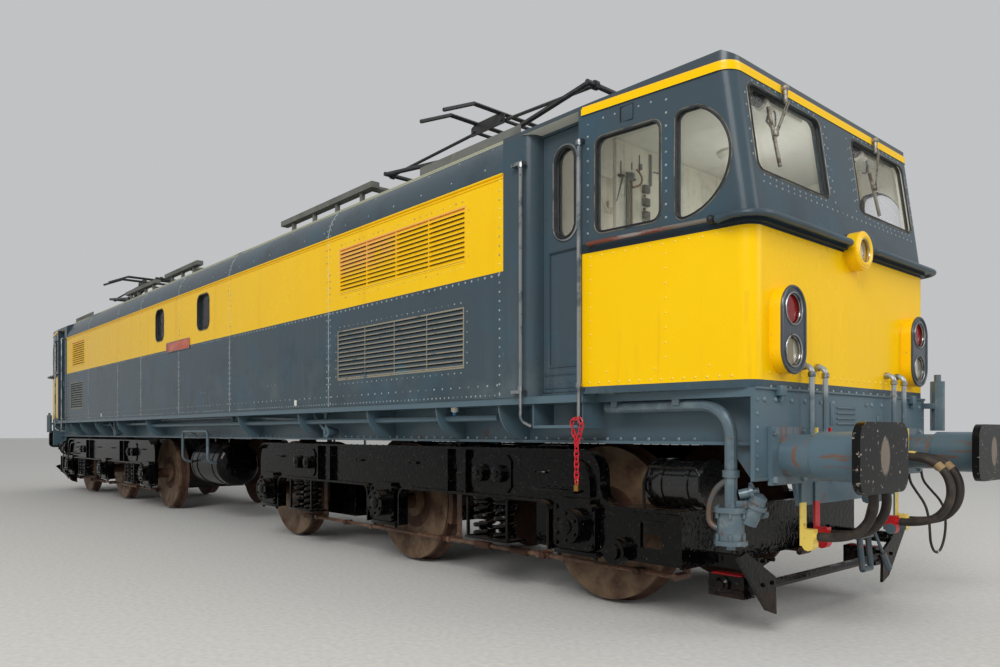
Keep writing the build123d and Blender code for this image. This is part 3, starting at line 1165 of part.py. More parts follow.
# Springs between the axles, two groups of two on each side, each group on a plate
SPRING_RADIUS = 95
SPRING_PLATE = (500, 200, 22)
SPRING_Z = (402, FRAME_ARCH_Z - SEAT_GAP)
SPRING_GROUPS = (-1588, 1495)
SPRING_OFFSETS = (-118, 118)

with BuildPart() as springs:
    for group in SPRING_GROUPS:
        for side in (-1, 1):
            with BuildSketch(Plane.XY.offset(SPRING_Z[0])):
                with Locations(*((group + offset, side * FRAME_Y) for offset in SPRING_OFFSETS)):
                    Circle(SPRING_RADIUS)
            extrude(amount=SPRING_Z[1] - SPRING_Z[0])
            with Locations((group, side * FRAME_Y, SPRING_Z[0])):
                Box(*SPRING_PLATE, align=(Align.CENTER, Align.CENTER, Align.MAX))

# Traction motors beside the axles, each with a nose that rests against a transom: X from, X to, nose from, nose to
MOTORS = (
    (-2080, -1440, -1440, TRANSOMS[0] - TRANSOM[0] / 2 - SEAT_GAP),
    (-960, -320, TRANSOMS[0] + TRANSOM[0] / 2 + SEAT_GAP, -960),
    (1440, 2080, TRANSOMS[1] + TRANSOM[0] / 2 + SEAT_GAP, 1440),
)
MOTOR_WIDTH = 1150
MOTOR_Z = (290, 930)
NOSE = (400, 110)

with BuildPart() as motors:
    for start, end, nose_start, nose_end in MOTORS:
        with BuildSketch(Plane.XZ.offset(-MOTOR_WIDTH / 2)):
            with Locations(((start + end) / 2, sum(MOTOR_Z) / 2)):
                Rectangle(end - start, MOTOR_Z[1] - MOTOR_Z[0])
        extrude(amount=MOTOR_WIDTH)
        with Locations(((nose_start + nose_end) / 2, 0, TRANSOM_Z - 60)):
            Box(nose_end - nose_start, *NOSE)

# Brake cylinders on the end deck, and the blocks, hangers, cross bars and pull rods of each side
CYLINDER_RADIUS = 140
CYLINDER_X = (3017, 3427)
CYLINDER_Y = 1000
CYLINDER_RINGS = ((3017, 30, 158), (3110, 24, 150), (3300, 24, 150), (3397, 30, 158))  # X, width, radius
# Blocks: X of the axle, X of the hanger, Z of the hanger's pin
BLOCKS = (
    (0, -640, 960), (0, 640, 960), (AXLE_PITCH, 1773, 960), (AXLE_PITCH, 3053, 690), (-AXLE_PITCH, -1773, 960),
)
BLOCK = (WHEEL_RADIUS + 11, 58, 17)  # inner radius, thickness, half angle
BLOCK_Y = (700, 815)
HANGER = (30, 275)  # radius, Z of its foot
HANGER_Y = (742, 772)
ROD_Y = 870
ROD_RADIUS = 17

with BuildPart() as brake_gear:
    axis_z = FRAME_DECK_Z + CYLINDER_RINGS[0][2] + SEAT_GAP
    for side in (-1, 1):
        for start, width, radius in ((CYLINDER_X[0], CYLINDER_X[1] - CYLINDER_X[0], CYLINDER_RADIUS), *CYLINDER_RINGS):
            with BuildSketch(Plane.YZ.offset(start)):
                with Locations((side * CYLINDER_Y, axis_z)):
                    Circle(radius)
            extrude(amount=width)
        for axle, x, pin_z in BLOCKS:
            out = 1 if x > axle else -1
            inner, thickness, half = BLOCK
            # Block: a ring segment at the wheel's tread
            with BuildSketch(Plane.XZ.offset(-side * (BLOCK_Y[0] if side > 0 else BLOCK_Y[1]))):
                with Locations((axle, AXLE_Z)):
                    Circle(inner + thickness)
                    Circle(inner, mode=Mode.SUBTRACT)
                    tip = 2 * inner
                    Polygon((0, 0), (out * tip, tip * tan(radians(half))), (out * tip, -tip * tan(radians(half))),
                            align=None, mode=Mode.INTERSECT)
            extrude(amount=-(BLOCK_Y[1] - BLOCK_Y[0]))
            y = side * sum(HANGER_Y) / 2
            add(bar((x, y, pin_z), (x, y, HANGER[1]), HANGER[0], 4))
            add(bar((x, side * 715, pin_z), (x, side * (FRAME_Y - SEAT_GAP), pin_z), 22, 8))
            add(bar((x, side * 742, HANGER[1]), (x, side * (ROD_Y + 25), HANGER[1]), 26, 6))
        add(bar((BLOCKS[4][1], side * ROD_Y, HANGER[1]), (BLOCKS[3][1], side * ROD_Y, HANGER[1]), ROD_RADIUS, 8))

for number, turn in ((1, 0), (2, 180)):
    centre = BOGIE_CENTRE_X if number == 1 else -BOGIE_CENTRE_X
    for piece, source in (
        ("frame", bogie_frame), ("axleboxes", axleboxes), ("springs", springs), ("motors", motors),
        ("brake_gear", brake_gear),
    ):
        name = f"bogie_{number}_{piece}"
        with BuildPart() as placed:
            with Locations((centre, 0, 0)):
                add(source.part, rotation=(0, 0, turn))
        placed.part.label = name
        export_step(placed.part, f"parts/{name}.step")
    # Axle 1 of each bogie is the one nearest its cab
    for axle, offset in ((1, AXLE_PITCH), (2, 0), (3, -AXLE_PITCH)):
        name = f"wheelset_{number}_{axle}"
        with BuildPart() as placed:
            with Locations(((BOGIE_CENTRE_X + offset) * (1 if number == 1 else -1), 0, AXLE_Z)):
                add(wheelset.part)
        placed.part.label = name
        export_step(placed.part, f"parts/{name}.step")

# Pantograph, folded, about its own centre: base on insulators, lower arms, upper arms and head
BASE_RAIL_Z = 3745
BASE_RAIL = 30
BASE_HALF_LENGTH = 700
INSULATOR_X = 600
INSULATOR_RADIUS = 38
SHED = (62, 16, 40)  # radius, thickness, pitch of the sheds on an insulator
LOWER_Y = 520
UPPER_Y = 440
HEAD_Y = 300
SHAFT_RADIUS = 30
ELBOW_RADIUS = 22
LOWER_TUBE = 24
UPPER_TUBE = 15
TOP_SHAFT_RADIUS = 16
EYE = 16
PIN_CLEARANCE = 0.6
OPEN_PIVOT_CLEARANCE = 5
CARRIER_Y = 330
CARRIER = 10
STRIP_X = 170
STRIP_HALF = 640
HORN_TIP = (980, -150)  # Y, and Z from the strips
STRIP_ABOVE_PIVOT = 70

rise = PANTOGRAPH_ARM * sin(radians(PANTOGRAPH_REST_ANGLE))
reach = PANTOGRAPH_ARM * cos(radians(PANTOGRAPH_REST_ANGLE))
ELBOW_X = PANTOGRAPH_PIVOT_SPREAD + reach
ELBOW_Z = PANTOGRAPH_PIVOT_Z + rise
HEAD_Z = ELBOW_Z + rise


with BuildPart() as pantograph_base:
    for side in (-1, 1):
        add(bar((-BASE_HALF_LENGTH, side * LOWER_Y, BASE_RAIL_Z), (BASE_HALF_LENGTH, side * LOWER_Y, BASE_RAIL_Z),
                BASE_RAIL, 4))
        foot_z = roof_z(LOWER_Y - INSULATOR_RADIUS) + SEAT_GAP
        with BuildSketch(Plane.XY.offset(foot_z)):
            with Locations((-INSULATOR_X, side * LOWER_Y), (INSULATOR_X, side * LOWER_Y)):
                RegularPolygon(INSULATOR_RADIUS, 8)
        extrude(amount=BASE_RAIL_Z - foot_z)
        radius, thickness, pitch = SHED
        for row in range(int((BASE_RAIL_Z - BASE_RAIL - thickness - foot_z) / pitch)):
            with BuildSketch(Plane.XY.offset(foot_z + pitch / 2 + row * pitch)):
                with Locations((-INSULATOR_X, side * LOWER_Y), (INSULATOR_X, side * LOWER_Y)):
                    Circle(radius)
            extrude(amount=thickness)
        # Bearings below the two base shafts
        bearing_z = PANTOGRAPH_PIVOT_Z - SHAFT_RADIUS - PIN_CLEARANCE
        with BuildSketch(Plane.XY.offset(BASE_RAIL_Z)):
            with Locations(
                (-PANTOGRAPH_PIVOT_SPREAD, side * LOWER_Y), (PANTOGRAPH_PIVOT_SPREAD, side * LOWER_Y)
            ):
                Rectangle(60, 40)
        extrude(amount=bearing_z - BASE_RAIL_Z)
    for x in (-INSULATOR_X, INSULATOR_X):
        add(bar((x, -LOWER_Y, BASE_RAIL_Z), (x, LOWER_Y, BASE_RAIL_Z), BASE_RAIL, 4))

with BuildPart() as pantograph_bases:
    with Locations((-PANTOGRAPH_X, 0, 0), (PANTOGRAPH_X, 0, 0)):
        add(pantograph_base.part)
pantograph_bases.part.label = "pantograph_bases"
export_step(pantograph_bases.part, "parts/pantograph_bases.step")

# Front lower arm: base shaft, elbow shaft and a tube on each side
with BuildPart() as lower_arm:
    base = (PANTOGRAPH_PIVOT_SPREAD, PANTOGRAPH_PIVOT_Z)
    add(bar((base[0], -LOWER_Y - 20, base[1]), (base[0], LOWER_Y + 20, base[1]), SHAFT_RADIUS, 0))
    add(bar((ELBOW_X, -LOWER_Y - 20, ELBOW_Z), (ELBOW_X, LOWER_Y + 20, ELBOW_Z), ELBOW_RADIUS, 0))
    for side in (-1, 1):
        add(bar((base[0], side * (LOWER_Y - 50), base[1]), (ELBOW_X, side * (LOWER_Y - 5), ELBOW_Z), LOWER_TUBE))

# Front upper arm: an eye round the elbow shaft on each side, tubes that draw together, and the top shaft
with BuildPart() as upper_arm:
    top = (PANTOGRAPH_PIVOT_SPREAD, HEAD_Z)
    for side in (-1, 1):
        add(bar((ELBOW_X, side * UPPER_Y, ELBOW_Z), (top[0], side * HEAD_Y, top[1]), UPPER_TUBE))
        add(bar((ELBOW_X, side * UPPER_Y - 20, ELBOW_Z), (ELBOW_X, side * UPPER_Y + 20, ELBOW_Z),
                ELBOW_RADIUS + EYE, 8))
    add(bar((ELBOW_X, -UPPER_Y - 30, ELBOW_Z), (ELBOW_X, UPPER_Y + 30, ELBOW_Z), ELBOW_RADIUS + PIN_CLEARANCE, 0),
        mode=Mode.SUBTRACT)
    add(bar((top[0], -CARRIER_Y - 15, top[1]), (top[0], CARRIER_Y + 15, top[1]), TOP_SHAFT_RADIUS, 0))

# Head: two collector strips with horns on a carrier plate at each side
with BuildPart() as head:
    strip_z = HEAD_Z + STRIP_ABOVE_PIVOT
    for x in (-STRIP_X, STRIP_X):
        add(bar((x, -STRIP_HALF, strip_z), (x, STRIP_HALF, strip_z), 22, 4))
        for side in (-1, 1):
            add(bar((x, side * STRIP_HALF, strip_z), (x, side * HORN_TIP[0], strip_z + HORN_TIP[1]), 18))
    for side in (-1, 1):
        with BuildSketch(Plane.XZ.offset(-side * CARRIER_Y)):
            with BuildLine():
                Polyline(
                    (-PANTOGRAPH_PIVOT_SPREAD - 40, HEAD_Z - 40), (PANTOGRAPH_PIVOT_SPREAD + 40, HEAD_Z - 40),
                    (PANTOGRAPH_PIVOT_SPREAD + 40, HEAD_Z + 40), (STRIP_X + 15, strip_z),
                    (-STRIP_X - 15, strip_z), (-PANTOGRAPH_PIVOT_SPREAD - 40, HEAD_Z + 40), close=True,
                )
            make_face()
            with Locations((PANTOGRAPH_PIVOT_SPREAD, HEAD_Z)):
                Circle(TOP_SHAFT_RADIUS + PIN_CLEARANCE, mode=Mode.SUBTRACT)
            with Locations((-PANTOGRAPH_PIVOT_SPREAD, HEAD_Z)):
                Circle(TOP_SHAFT_RADIUS + OPEN_PIVOT_CLEARANCE, mode=Mode.SUBTRACT)
        extrude(amount=CARRIER / 2, both=True)

for number, turn in ((1, 0), (2, 180)):
    centre = PANTOGRAPH_X if number == 1 else -PANTOGRAPH_X
    for piece, source, end_turn in (
        ("lower_front", lower_arm, 0), ("lower_rear", lower_arm, 180), ("upper_front", upper_arm, 0),
        ("upper_rear", upper_arm, 180), ("head", head, 0),
    ):
        name = f"pantograph_{number}_{piece}"
        with BuildPart() as placed:
            with Locations((centre, 0, 0)):
                add(source.part, rotation=(0, 0, turn + end_turn))
        placed.part.label = name
        export_step(placed.part, f"parts/{name}.step")
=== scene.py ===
import math

import bmesh
import bpy
from mathutils import Matrix, Vector


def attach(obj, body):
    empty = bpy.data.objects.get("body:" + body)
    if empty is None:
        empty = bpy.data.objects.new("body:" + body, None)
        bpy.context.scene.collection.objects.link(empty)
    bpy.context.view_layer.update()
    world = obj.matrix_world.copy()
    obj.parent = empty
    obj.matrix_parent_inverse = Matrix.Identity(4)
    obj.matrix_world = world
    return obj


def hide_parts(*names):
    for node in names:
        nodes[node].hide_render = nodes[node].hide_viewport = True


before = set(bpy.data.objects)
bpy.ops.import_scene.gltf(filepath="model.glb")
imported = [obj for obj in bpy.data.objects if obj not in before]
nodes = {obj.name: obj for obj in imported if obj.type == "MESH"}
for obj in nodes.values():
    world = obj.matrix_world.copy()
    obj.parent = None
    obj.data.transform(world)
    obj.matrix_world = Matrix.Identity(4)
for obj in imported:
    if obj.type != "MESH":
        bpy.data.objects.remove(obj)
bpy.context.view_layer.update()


def added(name, data):
    """A new object in the scene that shows those data."""
    obj = bpy.data.objects.new(name, data)
    bpy.context.scene.collection.objects.link(obj)
    return obj


# Camera, fitted to the photograph
IMAGE_WIDTH, IMAGE_HEIGHT = 1000, 667
FOCAL_PX = 775.1
HORIZON_PX = 433.0
SENSOR = 36.0
CAMERA_PLACE = (10.702, -5.073, 1.213)
CAMERA_YAW = math.radians(48.586)

camera = added("camera", bpy.data.cameras.new("camera"))
camera.location = CAMERA_PLACE
camera.rotation_euler = (math.pi / 2, 0, CAMERA_YAW)
camera.data.sensor_width = SENSOR
camera.data.lens = FOCAL_PX * SENSOR / IMAGE_WIDTH
camera.data.shift_y = (HORIZON_PX - IMAGE_HEIGHT / 2) / IMAGE_WIDTH
camera.data.clip_start, camera.data.clip_end = 0.05, 200
bpy.context.scene.camera = camera


# Finishes
def linear(code):
    """An sRGB hex colour as linear numbers, with a full alpha."""
    parts = [int(code[i:i + 2], 16) / 255 for i in (1, 3, 5)]
    return [p / 12.92 if p <= 0.04045 else ((p + 0.055) / 1.055) ** 2.4 for p in parts] + [1.0]


def node(tree, kind, settings=None, **links):
    """Adds a shader node, sets its attributes and inputs, and links the sockets; i6 means input number 6."""
    made = tree.nodes.new("ShaderNode" + kind)
    for key, value in (settings or {}).items():
        if isinstance(key, str) and hasattr(made, key) and key not in made.inputs:
            setattr(made, key, value)
        else:
            made.inputs[key].default_value = value
    for key, socket in links.items():
        numbered = key[0] == "i" and key[1:].isdigit()
        tree.links.new(socket, made.inputs[int(key[1:]) if numbered else key.replace("_", " ")])
    return made


def cover(tree, place, parts):
    """Where a layer of colour lies, from 0 to 1: the product of its parts, each of which is one of
    ("band", axis, low, high) and ("fade", axis, none at, full at), where axis ay means the size of y,
    ("cloud", millimetres, low, high, stretch), where the stretch may be left out,
    ("inner", x of the cab's middle) for the faces that look into a cab, ("up", low, high) for upward faces,
    and ("disc", y, z, half width, half height) for an oval on an end."""
    split = node(tree, "SeparateXYZ", Vector=place).outputs
    result = None
    for kind, *facts in parts:
        if kind in ("band", "fade"):
            axis, low, high = facts
            along = split["XYZ".index(axis[-1].upper())]
            if axis[0] == "a":
                along = node(tree, "Math", {"operation": "ABSOLUTE"}, i0=along).outputs[0]
        if kind == "band":
            middle, half = (low + high) / 2, (high - low) / 2
            part = node(tree, "Math", {"operation": "COMPARE", 1: middle, 2: half}, i0=along)
        elif kind == "fade":
            part = node(tree, "MapRange", {"From Min": low, "From Max": high}, Value=along)
        elif kind == "cloud":
            size, low, high = facts[:3]
            stretch = facts[3] if facts[3:] else (1, 1, 1)
            stretched = node(tree, "Mapping", {"Scale": stretch}, Vector=place).outputs[0]
            grain = node(tree, "TexNoise", {"Scale": 1000 / size, "Detail": 7.0, "Roughness": 0.62},
                         Vector=stretched).outputs[0]
            part = node(tree, "MapRange", {"From Min": low, "From Max": high}, Value=grain)
        elif kind == "inner":
            facing = node(tree, "TexCoord").outputs["Normal"]
            from_middle = node(tree, "VectorMath",
                               {"operation": "MULTIPLY_ADD", 1: (1, 1, 0), 2: (-facts[0], 0, 0)},
                               i0=place).outputs[0]
            dot = node(tree, "VectorMath", {"operation": "DOT_PRODUCT"}, i0=facing, i1=from_middle)
            part = node(tree, "Math", {"operation": "LESS_THAN", 1: -0.2}, i0=dot.outputs["Value"])
        elif kind == "disc":
            y, z, width, height = facts
            near = node(tree, "VectorMath", {"operation": "ABSOLUTE"}, i0=place).outputs[0]
            near = node(tree, "VectorMath", {"operation": "MULTIPLY_ADD", 1: (0, 1 / width, 1 / height),
                                             2: (0, -y / width, -z / height)}, i0=near).outputs[0]
            reach = node(tree, "VectorMath", {"operation": "LENGTH"}, i0=near).outputs["Value"]
            part = node(tree, "MapRange", {"From Min": 1.08, "From Max": 0.85}, Value=reach)
        else:
            low, high = facts
            facing = node(tree, "TexCoord").outputs["Normal"]
            upward = node(tree, "SeparateXYZ", Vector=facing).outputs[2]
            part = node(tree, "MapRange", {"From Min": low, "From Max": high}, Value=upward)
        part = part.outputs[0]
        if result is not None:
            part = node(tree, "Math", {"operation": "MULTIPLY"}, i0=result, i1=part).outputs[0]
        result = part
    return result


def finish(name, colour, roughness, layers=(), metallic=0.0, coat=0.0, grain_mm=2.0,
           relief_mm=0.05, sheen=0.0, detail=4.0, specular=0.5):
    """A finish: a colour and a roughness, layers of (colour, amount, roughness, parts), and a fine relief."""
    material = bpy.data.materials.new(name)
    material.use_nodes = True
    tree = material.node_tree
    tree.nodes.clear()
    shader = node(tree, "BsdfPrincipled", {"Metallic": metallic, "Coat Weight": coat, "Sheen Weight": sheen,
                                           "Specular IOR Level": specular})
    output = node(tree, "OutputMaterial")
    tree.links.new(shader.outputs[0], output.inputs[0])
    place = node(tree, "TexCoord").outputs["Object"]
    fine = node(tree, "TexNoise", {"Scale": 1000 / grain_mm, "Detail": detail}, Vector=place).outputs[0]
    shade = node(tree, "MapRange",
                 {"To Min": 0.0, "To Max": 1.0, "From Min": 0.3, "From Max": 0.7}, Value=fine)
    darker = [part * 0.86 for part in linear(colour)[:3]] + [1.0]
    base = node(tree, "Mix", {"data_type": "RGBA", 6: linear(colour), 7: darker},
                i0=shade.outputs[0]).outputs[2]
    gloss = node(tree, "MapRange",
                 {"To Min": max(0.03, roughness - 0.05), "To Max": min(1.0, roughness + 0.08)},
                 Value=fine).outputs[0]
    for layer_colour, amount, layer_roughness, parts in layers:
        lies = cover(tree, place, parts)
        lies = node(tree, "Math", {"operation": "MULTIPLY", 1: amount}, i0=lies).outputs[0]
        base = node(tree, "Mix", {"data_type": "RGBA", 7: linear(layer_colour)}, i0=lies, i6=base).outputs[2]
        gloss = node(tree, "Mix", {"data_type": "FLOAT", 3: layer_roughness}, i0=lies, i2=gloss).outputs[0]
    tree.links.new(base, shader.inputs["Base Color"])
    tree.links.new(gloss, shader.inputs["Roughness"])
    relief = node(tree, "Bump", {"Strength": 0.6, "Distance": relief_mm / 1000}, Height=fine)
    tree.links.new(relief.outputs[0], shader.inputs["Normal"])
    return material


def patched(name, colour, roughness, patch, amount, patch_roughness, *cloud, **facts):
    """A finish with one layer of patches, whose cloud is (millimetres, low, high, stretch)."""
    return finish(name, colour, roughness, [(patch, amount, patch_roughness, [("cloud", *cloud)])], **facts)


RUNS = (1, 1, 0.07)  # stretched downwards, as water leaves dirt
ALONG = (0.12, 1, 1)
SLATE, YELLOW, CAB_CREAM = "#44525a", "#fbc800", "#dcd8c8"
PALE_SLATE, FADED_SLATE = "#566b76", "#4a5a64"
BRIGHT_YELLOW, PALE_YELLOW, TAN_YELLOW = "#ffd214", "#f7dc6a", "#f2b45e"
# Where the yellow lies: the band along the body, the panel round a cab, the stripe above its windows
BAND = ("band", "z", 2.385, 3.095)
PANEL = ("band", "z", 1.512, 2.372)
STRIPE = ("band", "z", 3.268, 3.312)
OUTER_SKIN = ("band", "ay", 1.338, 1.40)
LOWER_LOUVRE = ("band", "z", 1.6, 2.38)
# Dirt that all outside paint has: chalky patches, pale runs, and road dirt towards the bottom
WEATHER = [
    ("#35586a", 0.55, 0.30, [("cloud", 600, 0.50, 0.68)]),
    ("#5d6a70", 0.45, 0.5, [("cloud", 200, 0.54, 0.76, RUNS), ("fade", "z", 2.6, 1.5)]),
    ("#77807f", 0.40, 0.6, [("cloud", 420, 0.50, 0.75), ("fade", "z", 2.2, 1.47)]),
    ("#1f2a33", 0.45, 0.25, [("cloud", 900, 0.52, 0.70)]),
]
ENAMEL = {"grain_mm": 3.0, "relief_mm": 0.03, "specular": 0.17}

# Gloss coach enamel on sheet steel, brushed on: even, with a clear sky in it and dust in its lower parts
side_paint = finish("coach_enamel_side", SLATE, 0.27, WEATHER + [
    (YELLOW, 1.0, 0.27, [BAND, ("band", "x", -6.512, 6.512), OUTER_SKIN]),
    (BRIGHT_YELLOW, 0.4, 0.3, [("cloud", 900, 0.45, 0.7), BAND, OUTER_SKIN]),
    ("#c98f10", 0.25, 0.4, [("cloud", 160, 0.55, 0.8, RUNS), BAND, OUTER_SKIN]),
    # A pale band along the roof's edge: a painted reflection of the light there
    ("#b9bba6", 0.85, 0.45, [("band", "z", 3.375, 3.43), ("cloud", 300, 0.25, 0.5, ALONG)]),
], **ENAMEL)


def cab_paint(name, end):
    """The same enamel on a cab: a yellow panel below the waist, a stripe below the roof, and cream inside."""
    ahead = ("band", "x", *sorted((end * 7.262, end * 8.6)))
    return finish(name, SLATE, 0.24, WEATHER + [
        (YELLOW, 1.0, 0.27, [PANEL, ahead]),
        (BRIGHT_YELLOW, 0.4, 0.3, [("cloud", 900, 0.45, 0.7), PANEL, ahead]),
        ("#c08a14", 0.5, 0.5, [("cloud", 90, 0.56, 0.8, RUNS), ("band", "z", 1.512, 2.0), ahead]),
        (YELLOW, 1.0, 0.3, [STRIPE, ahead]),
        ("#1f2930", 0.8, 0.4, [("band", "z", 2.372, 2.433), ahead]),
        (CAB_CREAM, 1.0, 0.5, [("inner", end * 7.3)]),
    ], **ENAMEL)


cab_1_paint, cab_2_paint = cab_paint("coach_enamel_cab_1", 1), cab_paint("coach_enamel_cab_2", -1)
# The same enamel on the doors and their frames, which have no yellow
frame_paint = finish("coach_enamel_doors", SLATE, 0.22, WEATHER + [
    ("#7a6a58", 0.8, 0.6, [("cloud", 40, 0.62, 0.68), ("band", "ax", 6.44, 6.52)]),
    (CAB_CREAM, 1.0, 0.5, [("band", "ay", 0, 1.184)]),
], **ENAMEL)
# Louvres keep an older coat: bare primer on the front edges of the slats, and faded patches in the yellow;
# deep between the slats, a near black painted shade
louvre_paint = finish("old_louvre_enamel", "#48545a", 0.4, [
    # Painted shade: near black on the faces deep between the slats
    ("#1a1d1e", 0.9, 0.8, [("fade", "ay", 1.324, 1.312)]),
    (YELLOW, 1.0, 0.35, [BAND, ("band", "ay", 1.300, 1.36)]),
    (TAN_YELLOW, 0.85, 0.5, [("cloud", 380, 0.36, 0.42), ("fade", "z", 2.66, 2.80), ("fade", "ax", 5.2, 4.9),
                             ("band", "z", 2.5, 3.0)]),
    (TAN_YELLOW, 0.7, 0.5, [("band", "z", 2.925, 3.0), ("cloud", 300, 0.30, 0.40, ALONG)]),
    ("#a39880", 0.75, 0.6, [("band", "ay", 1.3445, 1.36), LOWER_LOUVRE, ("cloud", 120, 0.30, 0.45)]),
    ("#2f8a9a", 0.2, 0.4, [("cloud", 300, 0.60, 0.66), LOWER_LOUVRE]),
], grain_mm=4.0, relief_mm=0.1)
# Lighter slate on the frame of the floor and the headstocks, with rust along it, dust on what faces up, and a
# painted shade, dark slate, on the parts inboard of the frame's sides
under_paint = finish("solebar_enamel", "#546a75", 0.3, [
    ("#5f6f73", 0.5, 0.5, [("cloud", 220, 0.5, 0.75)]),
    ("#6b4a33", 0.8, 0.8, [("cloud", 150, 0.60, 0.70), ("fade", "z", 1.30, 1.15)]),
    ("#7c6a52", 0.75, 0.85, [("up", 0.5, 0.9), ("cloud", 90, 0.35, 0.6)]),
    # Painted shade: dark slate on the parts inboard under the floor, away from the headstocks
    ("#20282c", 0.6, 0.7, [("band", "ay", 0, 0.97), ("band", "ax", 0, 8.40)]),
], grain_mm=4.0, relief_mm=0.08, specular=0.4)
# Weathered roof paint, grey with soot and dry dirt
roof_paint = finish("sooty_roof_enamel", "#6f706a", 0.6, [
    ("#4c4a44", 0.7, 0.75, [("cloud", 500, 0.45, 0.7)]),
    ("#8d8672", 0.5, 0.8, [("cloud", 120, 0.55, 0.75)]),
], grain_mm=6.0, relief_mm=0.15)
# The cabs' roofs are cleaner: slate with a grey bloom, the stripe's upper edge, and a white ceiling side
cab_roof_paint = finish("cab_roof_enamel", "#3b474f", 0.35, [
    ("#5a625f", 0.6, 0.6, [("cloud", 420, 0.45, 0.7), ("fade", "z", 3.36, 3.5)]),
    (YELLOW, 1.0, 0.3, [("band", "z", 3.300, 3.325), ("band", "ax", 7.28, 8.6)]),
    ("#dcdccf", 1.0, 0.6, [("up", -0.6, -0.9)]),
], coat=0.15, grain_mm=5.0, relief_mm=0.08)
# Bitumen enamel on castings, put on thick and often: wet gloss, brush relief, grey dust, and small pale
# specks that are partly chips and partly painted glints of the gloss
bogie_paint = finish("thick_bitumen_enamel", "#030304", 0.10, [
    ("#1f1d1b", 0.5, 0.5, [("cloud", 70, 0.54, 0.72)]),
    # Small pale specks: chips, and painted glints
    ("#7d7768", 0.8, 0.8, [("cloud", 16, 0.66, 0.70)]),
    ("#54483a", 0.7, 0.8, [("up", 0.6, 0.95), ("cloud", 120, 0.40, 0.62)]),
    ("#3f2a1e", 0.7, 0.8, [("fade", "z", 0.34, 0.16), ("cloud", 90, 0.40, 0.6)]),
], grain_mm=30.0, relief_mm=4.2, detail=0.6, specular=0.19)
# Rolled and forged steel with a dry brown rust, worn smoother and paler on the tyres
rust = finish("brown_rusty_steel", "#452c20", 0.7, [
    ("#5f3f2b", 0.8, 0.7, [("cloud", 70, 0.45, 0.65)]),
    ("#2e1f16", 0.8, 0.85, [("cloud", 35, 0.56, 0.70)]),
    ("#8a7358", 0.6, 0.5, [("band", "ay", 0.79, 0.83), ("cloud", 200, 0.35, 0.6)]),
], metallic=0.25, grain_mm=5.0, relief_mm=0.5)
# Brake rods: the same rust on black paint
rod_paint = finish("rusty_brake_rods", "#0b0b0b", 0.25, [
    ("#54382a", 1.0, 0.8, [("fade", "z", 0.75, 0.50)]),
    ("#7a5a40", 0.8, 0.8, [("fade", "z", 0.60, 0.40), ("cloud", 45, 0.45, 0.65)]),
    ("#8d8676", 0.6, 0.8, [("cloud", 14, 0.66, 0.70)]),
], coat=0.3, grain_mm=8.0, relief_mm=0.7)
# Bare steel rails, wiped bright by hands, with a little brown where the paint has gone
bright_steel = finish("hand_worn_steel", "#a9abab", 0.28, [
    ("#5b6a72", 0.85, 0.35, [("cloud", 160, 0.50, 0.60)]),
    ("#5a4030", 0.8, 0.8, [("cloud", 60, 0.62, 0.70)]),
], metallic=1.0, grain_mm=3.0, relief_mm=0.1)
# Lamp pods: dark enamel on their faces with black lens holes, and yellow at their roots and on the headlamp
lamp_paint = finish("lamp_enamel", "#3a424a", 0.25, [
    (YELLOW, 1.0, 0.3, [("band", "z", 2.2, 2.6)]),
    (YELLOW, 1.0, 0.3, [("band", "z", 1.5, 2.1), ("band", "ax", 8.3, 8.497)]),
    ("#1a1c1e", 1.0, 0.3, [("disc", 0.910, 1.92, 0.100, 0.100)]),
    ("#1a1c1e", 1.0, 0.3, [("disc", 0.910, 1.68, 0.100, 0.100)]),
    ("#7d6f5c", 0.5, 0.7, [("cloud", 30, 0.62, 0.70)]),
], coat=0.1)
# Buffer faces: black paint rubbed down to brown steel, with chips and grease; slate on their rams
buffer_paint = finish("rubbed_buffer_enamel", "#0a0a0b", 0.3, [
    ("#9a9186", 0.9, 0.45, [("cloud", 28, 0.62, 0.65), ("band", "ax", 8.90, 9.1)]),
    ("#7f7368", 0.9, 0.55, [("disc", 0.87, 1.09, 0.058, 0.100), ("band", "ax", 8.985, 9.1),
                            ("cloud", 90, 0.32, 0.42)]),
    (PALE_SLATE, 1.0, 0.3, [("band", "ax", 8.5, 8.935)]),
    ("#74503a", 0.9, 0.7, [("cloud", 60, 0.57, 0.64, ALONG), ("band", "ax", 8.5, 8.94),
                           ("band", "z", 1.0, 1.16)]),
], grain_mm=9.0, relief_mm=0.8, detail=1.0, specular=0.2)
sleeve_paint = finish("rust_streaked_sleeves", PALE_SLATE, 0.35, [
    ("#74503a", 0.9, 0.8, [("cloud", 50, 0.55, 0.62, RUNS)]),
    ("#64757c", 0.5, 0.5, [("cloud", 150, 0.5, 0.7)]),
], coat=0.15, grain_mm=4.0, relief_mm=0.1)
coupling_paint = finish("slate_coupling_enamel", "#41535d", 0.32, [
    ("#6a5844", 0.8, 0.8, [("cloud", 60, 0.52, 0.64)]),
    ("#8a6d3c", 0.9, 0.6, [("band", "z", 0.58, 0.80), ("band", "ay", 0, 0.03)]),
], coat=0.15, grain_mm=4.0, relief_mm=0.15)
# Hoses at an end: across from its middle, yellow for the outer pair and red for the inner
HOSE_Y = (-0.670, -0.500, 0.500, 0.670)


def end_colours(low, high, x_low, x_high, y_from):
    """Yellow outer and red inner pipe fittings, between two heights and two X, for 60 mm from y_from on."""
    return [
        (colour, 1.0, 0.35, [("band", "z", low, high), ("band", "ax", x_low, x_high),
                             ("band", "y", y + y_from, y + y_from + 0.06)])
        for colour, places in (("#f0d264", HOSE_Y[::3]), ("#c4141c", HOSE_Y[1:3])) for y in places
    ]


